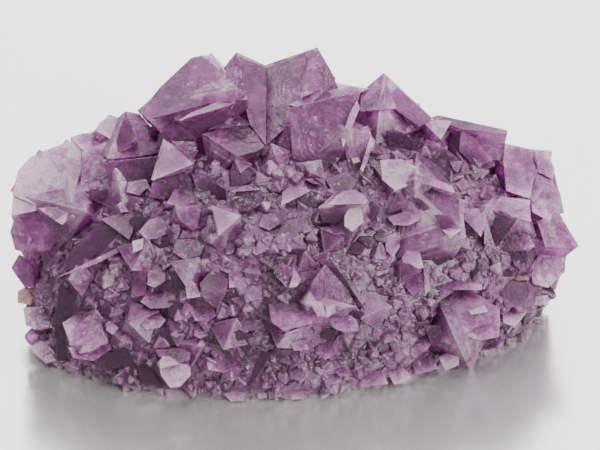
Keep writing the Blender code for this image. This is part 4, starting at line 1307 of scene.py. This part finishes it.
@dataclass
class FacetGrowth:
    """The flat faces that show between the main crystals, each the front of a wedge.

    A wedge ends in a point inside the body, towards its heart. It holds to what it grows on: its
    front lies between the mean and the nearest of the depths under it, by the share hold. Its root
    is looked for lift_off millimetres behind its front.
    """

    view: FrontView
    facets: tuple[Facet, ...] = FACETS
    heart: tuple[float, float, float] = (0.0, 8.0 * MM, 12.0 * MM)
    inner: float = 0.6
    depth_share: float = 0.8
    rooted: float = 2.0 * MM
    lift_off: float = 0.05
    chamfer: float = 0.14 * MM
    hold: float = 0.65
    dark_hold: float = 0.4
    dark_skins: tuple[Skin, ...] = (Skin.DARK, Skin.DEEP, Skin.DARK_GREY)
    same_way: float = 0.98
    towards: float = 0.3

    def grow(self, ground: Triangles) -> bpy.types.Collection:
        """Make a wedge for each facet, each standing on the ground and the facets before it.

        Args:
            ground: The triangles to stand on, which grows with each facet.

        Returns:
            The wedges.
        """
        wedges = bpy.data.collections.new("facets")
        for facet in self.facets:
            wedge = self.wedge(facet, ground)
            wedges.objects.link(wedge)
            ground += loose_triangles(wedge.data)
        return wedges

    def wedge(self, facet: Facet, ground: Triangles) -> bpy.types.Object:
        """Make one facet's wedge.

        Args:
            facet: The facet.
            ground: The triangles that it stands on.

        Returns:
            The wedge's object.
        """
        tree = surface(ground)
        outline = [Vector(self.view.seen(corner)) for corner in facet.outline]
        centre = sum(outline, Vector((0.0, 0.0))) / len(outline)
        slopes = Vector(facet.slopes)
        base = self.base(facet, tree, centre, outline)
        front = [self.view.point(*place, base + slopes.dot(place - centre)) for place in outline]
        size = max((corner - centre).length for corner in outline)
        middle = self.view.point(*centre, base)
        drawn = 1 - self.chamfer / size
        inset = [middle.lerp(corner, drawn) for corner in front]
        away = self.view.vector(0.0, 0.0, -self.chamfer)
        apex = self.root(tree, middle, size)
        mesh = self.hull(facet.name, [*inset, *(corner + away for corner in front), apex])
        facing = (front[1] - front[0]).cross(front[-1] - front[0]).normalized()
        if facing.dot(self.view.vector(0.0, 0.0, 1.0)) < 0:
            facing = -facing
        mark(mesh, "shown", lambda normal: normal.dot(facing) > self.towards)
        # The chamfer faces are marked rim, to be made paler as a painted highlight.
        mark(mesh, "rim", lambda normal: self.towards < normal.dot(facing) < self.same_way)
        self.dress(mesh, facet, middle, size)
        return bpy.data.objects.new(facet.name, mesh)

    def base(self, facet: Facet, tree: BVHTree, centre: Vector, outline: list[Vector]) -> float:
        """Return how far towards the viewer the middle of a facet lies.

        Args:
            facet: The facet.
            tree: What it grows on.
            centre: Its centre in the front view, in metres at the aim.
            outline: Its corners in the same way.

        Returns:
            The depth in metres from the aim.
        """
        slopes = Vector(facet.slopes)
        inner = [centre] + [centre.lerp(corner, self.inner) for corner in outline]
        depths = [self.view.depth(tree, *place) - slopes.dot(place - centre) for place in inner]
        mean = sum(depths) / len(depths)
        hold = self.dark_hold if facet.skin in self.dark_skins else self.hold
        return mean + (max(depths) - mean) * hold + facet.proud * MM

    def root(self, tree: BVHTree, middle: Vector, size: float) -> Vector:
        """Return where a wedge ends, inside what it grows on.

        Args:
            tree: What it grows on.
            middle: The middle of its facet.
            size: The facet's reach.

        Returns:
            The wedge's far end.
        """
        back = self.view.vector(0.0, 0.0, -1.0)
        inwards = (Vector(self.heart) - middle).normalized()
        way = (back + inwards).normalized()
        distance = tree.ray_cast(middle + way * self.lift_off * MM, way)[3]
        return middle + way * max(size * self.depth_share, (distance or 0.0) + self.rooted)

    def hull(self, name: str, points: list[Vector]) -> bpy.types.Mesh:
        """Make the closed hull of some points.

        Args:
            name: The mesh's name.
            points: The points.

        Returns:
            The mesh, in triangles.
        """
        bm = bmesh.new()
        for point in points:
            bm.verts.new(point)
        bmesh.ops.convex_hull(bm, input=bm.verts)
        loose = [vert for vert in bm.verts if not vert.link_faces]
        bmesh.ops.delete(bm, geom=loose, context="VERTS")
        bmesh.ops.triangulate(bm, faces=bm.faces)
        return closed(bm, name)

    def dress(self, mesh: bpy.types.Mesh, facet: Facet, middle: Vector, size: float) -> None:
        """Give a wedge the values that a crystal carries, and its facet's reach as span.

        Args:
            mesh: The wedge.
            facet: Its facet.
            middle: The middle of the facet.
            size: The facet's reach.
        """
        vectors = {"middle": middle, "first": Vector((1, 0, 0)), "second": Vector((0, 1, 0))}
        for name, value in vectors.items():
            mesh.attributes.new(name, "FLOAT_VECTOR", "POINT").data.foreach_set(
                "vector", [part for _ in mesh.vertices for part in value])
        sand = float(facet.skin is Skin.SANDY)
        numbers = {**looks(facet.skin, facet.rest), "span": size, "sand": sand}
        for name, value in numbers.items():
            values = [value] * len(mesh.vertices)
            mesh.attributes.new(name, "FLOAT", "POINT").data.foreach_set("value", values)


@dataclass(frozen=True)
class Sowing:
    """A layer of small crystals sown over one side of the body; lengths are in millimetres.

    A crystal needs clearance from the main ones and is sunk into the ground, both as shares of its
    reach. Higher than hollow off the body, it grows only where a cloud is denser than patches.
    """

    spacing: float
    reach: Span
    clearance: float
    sunk: float
    facing: tuple[float, float, float]
    least_facing: float
    tone: Span
    frost: Span
    seed: int
    hollow: float = 100.0
    patches: float = 1.0


MEDIUM_SOWINGS = (
    Sowing(spacing=5.5, reach=(2.6, 4.0), clearance=0.3, sunk=0.35, facing=FRONT, least_facing=-0.1,
           tone=(-0.5, 0.3), frost=(0.0, 0.1), seed=2),
    Sowing(spacing=2.3, reach=(1.4, 2.6), clearance=0.1, sunk=0.25, facing=FRONT, least_facing=-0.1,
           tone=(-0.5, 0.6), frost=(0.0, 0.1), seed=3),
    Sowing(spacing=3.2, reach=(2.4, 5.0), clearance=0.2, sunk=0.25, facing=BACK, least_facing=0.1,
           tone=(-0.6, 0.4), frost=(0.0, 0.2), seed=5),
)
FINE_SOWINGS = (
    Sowing(spacing=1.5, reach=(0.8, 1.5), clearance=0.5, sunk=0.3, facing=LOW_FRONT, least_facing=0.25,
           tone=(0.0, 0.8), frost=(0.0, 0.08), seed=23, hollow=0.9, patches=0.5),
    Sowing(spacing=0.9, reach=(0.45, 1.0), clearance=0.5, sunk=0.25, facing=FRONT, least_facing=-0.1,
           tone=(-0.5, 0.5), frost=(0.0, 0.08), seed=11, hollow=0.25, patches=0.56),
    Sowing(spacing=1.6, reach=(0.9, 1.9), clearance=0.1, sunk=0.25, facing=BACK, least_facing=0.1,
           tone=(-0.5, 0.5), frost=(0.0, 0.3), seed=17, hollow=0.3, patches=0.6),
)


class GrowthNodes(Nodes):
    """Short forms for the nodes of a Geometry Nodes tree."""

    def named(self, name: str, kind: str = "FLOAT") -> Socket:
        """Return a named attribute."""
        node = self.add("GeometryNodeInputNamedAttribute", {"Name": name}, data_type=kind)
        return node.outputs["Attribute"]

    def store(self, geometry: Socket, name: str, kind: str, value: Socket, domain: str = "POINT") -> Socket:
        """Store a named attribute.

        Args:
            geometry: The geometry.
            name: The attribute's name.
            kind: Its data type.
            value: Its value.
            domain: What carries it.

        Returns:
            The geometry with the attribute.
        """
        node = self.add("GeometryNodeStoreNamedAttribute", data_type=kind, domain=domain)
        self.feed(node.inputs["Geometry"], geometry)
        self.feed(node.inputs["Name"], name)
        self.feed(node.inputs["Value"], value)
        return node.outputs["Geometry"]

    def random(self, span: Span, seed: int) -> Socket:
        """Return a random number for each point."""
        inputs = {2: span[0], 3: span[1], "Seed": seed}
        return self.add("FunctionNodeRandomValue", inputs, data_type="FLOAT").outputs[1]

    def random_vector(self, low: tuple, high: tuple, seed: int) -> Socket:
        """Return a random vector for each point."""
        inputs = {0: low, 1: high, "Seed": seed}
        return self.add("FunctionNodeRandomValue", inputs, data_type="FLOAT_VECTOR").outputs[0]

    def compare(self, first: Socket, operation: str, second: Socket | float) -> Socket:
        """Return whether a number is above or below another."""
        return self.add("FunctionNodeCompare", {0: first, 1: second}, operation=operation).outputs[0]

    def normal(self) -> Socket:
        """Return the normal."""
        return self.add("GeometryNodeInputNormal").outputs[0]

    def position(self) -> Socket:
        """Return the position."""
        return self.add("GeometryNodeInputPosition").outputs[0]

    def near(self, surface_of: Socket) -> bpy.types.Node:
        """Return a node with the nearest place of a surface and the distance to it."""
        return self.add("GeometryNodeProximity", {0: surface_of}, target_element="FACES")

    def drop(self, points: Socket, lost: Socket) -> Socket:
        """Return the points that aren't lost."""
        inputs = {"Geometry": points, "Selection": lost}
        return self.add("GeometryNodeDeleteGeometry", inputs, domain="POINT").outputs[0]

    def realize(self, geometry: Socket) -> Socket:
        """Return real geometry in place of instances."""
        return self.add("GeometryNodeRealizeInstances", {"Geometry": geometry}).outputs[0]

    def join(self, parts: list[Socket]) -> Socket:
        """Return several geometries as one, without joining their skins."""
        return self.fill(self.add("GeometryNodeJoinGeometry"), 0, parts)

    def union(self, parts: list[Socket]) -> Socket:
        """Return closed parts joined into one skin."""
        node = self.add("GeometryNodeMeshBoolean", operation="UNION", solver="MANIFOLD")
        return self.fill(node, 1, parts)

    def fill(self, node: bpy.types.Node, index: int, parts: list[Socket]) -> Socket:
        """Link several parts to one input of a node.

        Args:
            node: The node.
            index: The input's index.
            parts: What to link, in order.

        Returns:
            The node's output.
        """
        for part in parts:
            self.feed(node.inputs[index], part)
        return node.outputs[0]


@dataclass
class Growth:
    """Grows the whole cluster with Geometry Nodes: main crystals, sown ones, one skin, a flat cut."""

    medium: tuple[Sowing, ...] = MEDIUM_SOWINGS
    fine: tuple[Sowing, ...] = FINE_SOWINGS
    lean: float = math.radians(55.0)
    crowding: float = 2.0
    patch_waves: float = 110.0
    patch_detail: float = 2.0
    # How much paler the rim faces along the crystals' edges are: a painted highlight.
    rim_highlight: float = 0.4
    cut_block: tuple[float, float, float] = (0.2, 0.2, 0.05)
    inputs: tuple[tuple[str, str], ...] = (
        ("Dome", "Geometry"), ("Main Seeds", "Object"), ("Facets", "Collection"),
        ("Large Shape", "Object"), ("Small Shape", "Object"), ("Tiny Shape", "Object"),
        ("Finish", "Material"),
    )
    carried: tuple[tuple[str, str], ...] = (
        ("middle", "FLOAT_VECTOR"), ("first", "FLOAT_VECTOR"), ("second", "FLOAT_VECTOR"),
        ("tone", "FLOAT"), ("frost", "FLOAT"), ("span", "FLOAT"), ("sand", "FLOAT"),
    )

    def tree(self) -> bpy.types.GeometryNodeTree:
        """Build the node tree.

        Returns:
            The tree, which turns the body into the finished cluster.
        """
        tree = bpy.data.node_groups.new("fluorite_growth", "GeometryNodeTree")
        kit = GrowthNodes(tree)
        for name, kind in self.inputs:
            tree.interface.new_socket(name, in_out="INPUT", socket_type="NodeSocket" + kind)
        tree.interface.new_socket("Geometry", in_out="OUTPUT", socket_type="NodeSocketGeometry")
        entry = {socket.name: socket for socket in kit.add("NodeGroupInput").outputs}
        large, small, tiny, seeds = (
            kit.add("GeometryNodeObjectInfo", {"Object": entry[name]}).outputs["Geometry"]
            for name in ("Large Shape", "Small Shape", "Tiny Shape", "Main Seeds")
        )
        dome = entry["Dome"]
        points = kit.add("GeometryNodeMeshToPoints", {"Mesh": seeds}).outputs["Points"]
        mains = self.crystals(kit, points, large)
        wedges = {"Collection": entry["Facets"], "Separate Children": True}
        facets = kit.add("GeometryNodeCollectionInfo", wedges).outputs[0]
        skin = kit.union([mains, facets])
        medium = [self.sow(kit, sowing, dome, dome, skin, small) for sowing in self.medium]
        body = kit.union([dome, mains, facets, *medium])
        fine = [self.sow(kit, sowing, body, dome, skin, tiny) for sowing in self.fine]
        whole = self.cut(kit, kit.union([body, *fine]))
        source = self.looks(kit, kit.join([mains, facets, *medium, *fine]))
        dressed = kit.realize(self.lift(kit, self.carry(kit, whole, source), dome))
        finish = {"Geometry": dressed, "Material": entry["Finish"]}
        finished = kit.add("GeometryNodeSetMaterial", finish).outputs[0]
        kit.add("NodeGroupOutput", {0: finished})
        return tree

    def looks(self, kit: GrowthNodes, crystals: Socket) -> Socket:
        """Give each face of the crystals its tone and frost, by whether it is the set face, with the rim
        faces paler as a painted highlight.

        Args:
            kit: The tree's nodes.
            crystals: The crystals, not joined.

        Returns:
            The crystals as real geometry, with their looks.
        """
        real = kit.realize(crystals)
        shown = kit.named("shown")
        tone = kit.blend(shown, kit.named("rest_tone"), kit.named("face_tone"))
        frost = kit.blend(shown, kit.named("rest_frost"), kit.named("face_frost"))
        # Rim faces are made paler: a painted highlight.
        highlighted_tone = kit.math("MULTIPLY_ADD", kit.named("rim"), self.rim_highlight, tone)
        real = kit.store(real, "tone", "FLOAT", highlighted_tone, "FACE")
        return kit.store(real, "frost", "FLOAT", frost, "FACE")

    def crystals(self, kit: GrowthNodes, points: Socket, shape: Socket) -> Socket:
        """Put a crystal on each point, by its turn and reach, and keep its middle and directions.

        Args:
            kit: The tree's nodes.
            points: Points with a turn and a reach.
            shape: The crystal of reach one.

        Returns:
            The instances.
        """
        turn = kit.named("turn", "QUATERNION")
        points = kit.store(points, "middle", "FLOAT_VECTOR", kit.position())
        for name, axis in (("first", (1.0, 0.0, 0.0)), ("second", (0.0, 1.0, 0.0))):
            turned = kit.add("FunctionNodeRotateVector", {"Vector": axis, "Rotation": turn}).outputs[0]
            points = kit.store(points, name, "FLOAT_VECTOR", turned)
        return kit.add("GeometryNodeInstanceOnPoints", {
            "Points": points,
            "Instance": shape,
            "Rotation": turn,
            "Scale": kit.named("reach"),
        }).outputs["Instances"]

    def sow(self, kit: GrowthNodes, sowing: Sowing, ground: Socket, bed: Socket, skin: Socket,
            shape: Socket) -> Socket:
        """Sow a layer of small crystals over one side of the body, clear of the main crystals.

        Args:
            kit: The tree's nodes.
            sowing: The layer.
            ground: The mesh to sow on.
            bed: The body's mesh.
            skin: The main crystals, joined.
            shape: The crystal of reach one.

        Returns:
            The instances.
        """
        points = self.scatter(kit, sowing, ground)
        points = self.clear_of(kit, points, skin, sowing.clearance)
        points = self.gather(kit, points, bed, sowing)
        return self.crystals(kit, points, shape)

    def scatter(self, kit: GrowthNodes, sowing: Sowing, ground: Socket) -> Socket:
        """Scatter points over the ground, with a reach, a turn and looks each, sunk by their reach.

        Args:
            kit: The tree's nodes.
            sowing: The layer.
            ground: The mesh to sow on.

        Returns:
            The points.
        """
        faces = kit.compare(kit.dot(kit.normal(), sowing.facing), "GREATER_THAN", sowing.least_facing)
        sown = kit.add("GeometryNodeDistributePointsOnFaces", {
            "Mesh": ground,
            "Selection": faces,
            "Distance Min": sowing.spacing * MM,
            "Density Max": self.crowding / (sowing.spacing * MM) ** 2,
            "Seed": sowing.seed,
        }, distribute_method="POISSON")
        reach = kit.random((sowing.reach[0] * MM, sowing.reach[1] * MM), sowing.seed)
        points = kit.store(sown.outputs["Points"], "reach", "FLOAT", reach)
        lowest, highest = (-self.lean, -self.lean, 0.0), (self.lean, self.lean, math.tau)
        heading = kit.random_vector(lowest, highest, sowing.seed + 1)
        leaning = kit.add("FunctionNodeEulerToRotation", {0: heading}).outputs[0]
        turning = {"Rotation": sown.outputs["Rotation"], "Rotate By": leaning}
        turn = kit.add("FunctionNodeRotateRotation", turning, rotation_space="LOCAL").outputs[0]
        points = kit.store(points, "turn", "QUATERNION", turn)
        looks = {"face_tone": sowing.tone, "rest_tone": sowing.tone,
                 "face_frost": sowing.frost, "rest_frost": sowing.frost}
        for seed, (name, span) in enumerate(looks.items(), sowing.seed + 10):
            points = kit.store(points, name, "FLOAT", kit.random(span, seed))
        down = kit.vector("SCALE", sown.outputs["Normal"])
        kit.feed(down.inputs["Scale"], kit.math("MULTIPLY", kit.named("reach"), -sowing.sunk))
        sinking = {"Geometry": points, "Offset": down.outputs[0]}
        return kit.add("GeometryNodeSetPosition", sinking).outputs[0]

    def clear_of(self, kit: GrowthNodes, points: Socket, skin: Socket, clearance: float) -> Socket:
        """Drop the points in a surface, or nearer to it than a share of their reach.

        Args:
            kit: The tree's nodes.
            points: The points, with a reach.
            skin: The closed surface.
            clearance: The share of the reach.

        Returns:
            The points that stay.
        """
        near = kit.near(skin)
        away = kit.vector("SUBTRACT", kit.position(), near.outputs["Position"]).outputs[0]
        facing = kit.add("GeometryNodeSampleNearestSurface", {"Mesh": skin, "Value": kit.normal()},
                         data_type="FLOAT_VECTOR").outputs[0]
        sign = kit.math("SIGN", kit.dot(away, facing))
        signed = kit.math("MULTIPLY", near.outputs["Distance"], sign)
        least = kit.math("MULTIPLY", kit.named("reach"), clearance)
        return kit.drop(points, kit.compare(signed, "LESS_THAN", least))

    def gather(self, kit: GrowthNodes, points: Socket, bed: Socket, sowing: Sowing) -> Socket:
        """Keep the points that lie low between larger crystals, or in patches.

        Args:
            kit: The tree's nodes.
            points: The points.
            bed: The body's mesh.
            sowing: The layer, with how far off the body a hollow reaches, and how rare patches are.

        Returns:
            The points that stay.
        """
        high = kit.compare(kit.near(bed).outputs["Distance"], "GREATER_THAN", sowing.hollow * MM)
        waves = {"Scale": self.patch_waves, "Detail": self.patch_detail}
        cloud = kit.add("ShaderNodeTexNoise", waves).outputs[0]
        bare = kit.compare(cloud, "LESS_THAN", sowing.patches)
        lost = kit.add("FunctionNodeBooleanMath", {0: high, 1: bare}, operation="AND").outputs[0]
        return kit.drop(points, lost)

    def cut(self, kit: GrowthNodes, whole: Socket) -> Socket:
        """Cut the underside flat at height zero.

        Args:
            kit: The tree's nodes.
            whole: The joined skin.

        Returns:
            The skin, cut.
        """
        block = kit.add("GeometryNodeMeshCube", {"Size": self.cut_block}).outputs[0]
        down = {"Geometry": block, "Translation": (0.0, 0.0, -self.cut_block[2] / 2)}
        lowered = kit.add("GeometryNodeTransform", down).outputs[0]
        node = kit.add("GeometryNodeMeshBoolean", {0: whole, 1: lowered}, operation="DIFFERENCE",
                       solver="MANIFOLD")
        return node.outputs[0]

    def carry(self, kit: GrowthNodes, skin: Socket, source: Socket) -> Socket:
        """Give each face of the skin the values of the crystal that it comes from.

        Args:
            kit: The tree's nodes.
            skin: The joined skin.
            source: The crystals before they were joined.

        Returns:
            The skin with its values.
        """
        for name, kind in self.carried:
            sampled = {"Mesh": source, "Value": kit.named(name, kind)}
            taken = kit.add("GeometryNodeSampleNearestSurface", sampled, data_type=kind).outputs[0]
            skin = kit.store(skin, name, kind, taken, "FACE")
        return skin

    def lift(self, kit: GrowthNodes, skin: Socket, dome: Socket) -> Socket:
        """Keep how far each corner of the skin stands off the body, as the attribute height, which the
        material uses for painted shade in the hollows.
        """
        return kit.store(skin, "height", "FLOAT", kit.near(dome).outputs["Distance"])


def set_inputs(modifier: bpy.types.Modifier, values: dict) -> None:
    """Set a Geometry Nodes modifier's inputs by their sockets' identifiers.

    Args:
        modifier: The modifier.
        values: Values by the input's name.
    """
    for item in modifier.node_group.interface.items_tree:
        if item.item_type == "SOCKET" and item.in_out == "INPUT" and item.name in values:
            modifier[item.identifier] = values[item.name]


@dataclass
class Cluster:
    """The fluorite cluster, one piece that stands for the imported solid."""

    view: FrontView
    dome: Dome = field(default_factory=Dome)
    growth: Growth = field(default_factory=Growth)
    finish: FluoriteFinish = field(default_factory=FluoriteFinish)
    large: CrystalShape = CrystalShape("large_crystal", 0.008)
    small: CrystalShape = CrystalShape("small_crystal", 0.06)
    tiny: CrystalShape = CrystalShape("tiny_crystal", 0.1)

    def build(self) -> bpy.types.Object:
        """Grow the cluster.

        Returns:
            Its plain mesh object.
        """
        bed = linked("fluorite_bed", self.dome.mesh())
        ground = loose_triangles(bed.data)
        mains = MainGrowth(self.view)
        grown = mains.grow(surface(ground))
        ground += [triangle for crystal in grown for triangle in crystal.triangles()]
        facets = FacetGrowth(self.view).grow(ground)
        guides = {
            "Main Seeds": mains.seeds(grown),
            "Large Shape": self.large.build(),
            "Small Shape": self.small.build(),
            "Tiny Shape": self.tiny.build(),
        }
        modifier = bed.modifiers.new("growth", "NODES")
        modifier.node_group = self.growth.tree()
        set_inputs(modifier, {**guides, "Facets": facets, "Finish": self.finish.material()})
        evaluated = bed.evaluated_get(bpy.context.evaluated_depsgraph_get())
        plain = bpy.data.meshes.new_from_object(evaluated)
        cluster = linked("fluorite_crystals", plain)
        for guide in (bed, *guides.values(), *facets.objects):
            bpy.data.objects.remove(guide, do_unlink=True)
        bpy.data.collections.remove(facets)
        return cluster


@dataclass(frozen=True)
class Lamp:
    """A square soft light, by its middle and side in metres and its power in watts."""

    name: str
    place: tuple[float, float, float]
    side: float
    power: float

    def build(self, aim: tuple[float, float, float]) -> None:
        """Set up the light.

        Args:
            aim: Where it points.
        """
        data = bpy.data.lights.new(self.name, "AREA")
        data.size = self.side
        data.energy = self.power
        lamp = bpy.data.objects.new(self.name, data)
        bpy.context.collection.objects.link(lamp)
        lamp.location = self.place
        lamp.rotation_euler = (Vector(aim) - Vector(self.place)).to_track_quat("-Z", "Y").to_euler()


@dataclass(frozen=True)
class TableTop:
    """A plain pale table top with a soft reflection."""

    colour: str = "d0d0cd"
    size: float = 3.0
    squares: int = 8
    metallic: float = 0.75
    haze: Waves = Waves(30.0)
    haze_roughness: Step = Step(0.3, 0.7, 0.16, 0.24)

    def build(self) -> None:
        """Make the table top, as part of the stage."""
        bm = bmesh.new()
        bmesh.ops.create_grid(bm, x_segments=self.squares, y_segments=self.squares, size=self.size / 2)
        mesh = bpy.data.meshes.new("table_top")
        bm.to_mesh(mesh)
        bm.free()
        mesh.materials.append(self.material())
        linked("table_top", mesh)

    def material(self) -> bpy.types.Material:
        """Make the material.

        Returns:
            The material.
        """
        material = bpy.data.materials.new("pale_table")
        material.use_nodes = True
        nodes = ShaderNodes(material.node_tree)
        shader = nodes.add("ShaderNodeBsdfPrincipled", {
            "Base Color": colour(self.colour),
            "Roughness": nodes.stepped(self.haze, self.haze_roughness),
            "Metallic": self.metallic,
        })
        nodes.add("ShaderNodeOutputMaterial", {"Surface": shader.outputs["BSDF"]})
        return material


@dataclass
class Studio:
    """A plain pale table, plain soft light and the camera."""

    view: FrontView
    table: TableTop = TableTop()
    lamps: tuple[Lamp, ...] = (
        Lamp("overhead", (0.1, 0.1, 0.9), 1.2, 11.5),
        Lamp("bright_pane", (-0.35, -0.25, 0.8), 0.25, 4.0),
        Lamp("window_behind", (0.15, 0.8, 0.4), 1.0, 13.0),
        Lamp("front_fill", (0.8, -0.65, 0.45), 0.8, 22.0),
    )
    room_colour: str = "e9eaea"
    room_strength: float = 0.85

    def build(self) -> None:
        """Set up the table, the lights, the room and the camera."""
        self.table.build()
        for lamp in self.lamps:
            lamp.build(self.view.aim)
        world = bpy.data.worlds.new("pale_room")
        world.use_nodes = True
        background = world.node_tree.nodes["Background"]
        background.inputs["Color"].default_value = colour(self.room_colour)
        background.inputs["Strength"].default_value = self.room_strength
        bpy.context.scene.world = world
        self.view.camera()


def corners(box: tuple[Vector, Vector]) -> list[list[float]]:
    """Return a box's two corners as plain lists."""
    return [list(corner) for corner in box]


def main() -> None:
    """Build the scene."""
    logging.basicConfig(level=logging.INFO)
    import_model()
    view = FrontView()
    cluster = Cluster(view).build()
    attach(cluster, "root")
    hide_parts(NODE_NAME)
    LOG.info("%s: %d faces", cluster.name, len(cluster.data.polygons))
    Studio(view).build()
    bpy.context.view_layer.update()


if __name__ == "__main__":
    main()
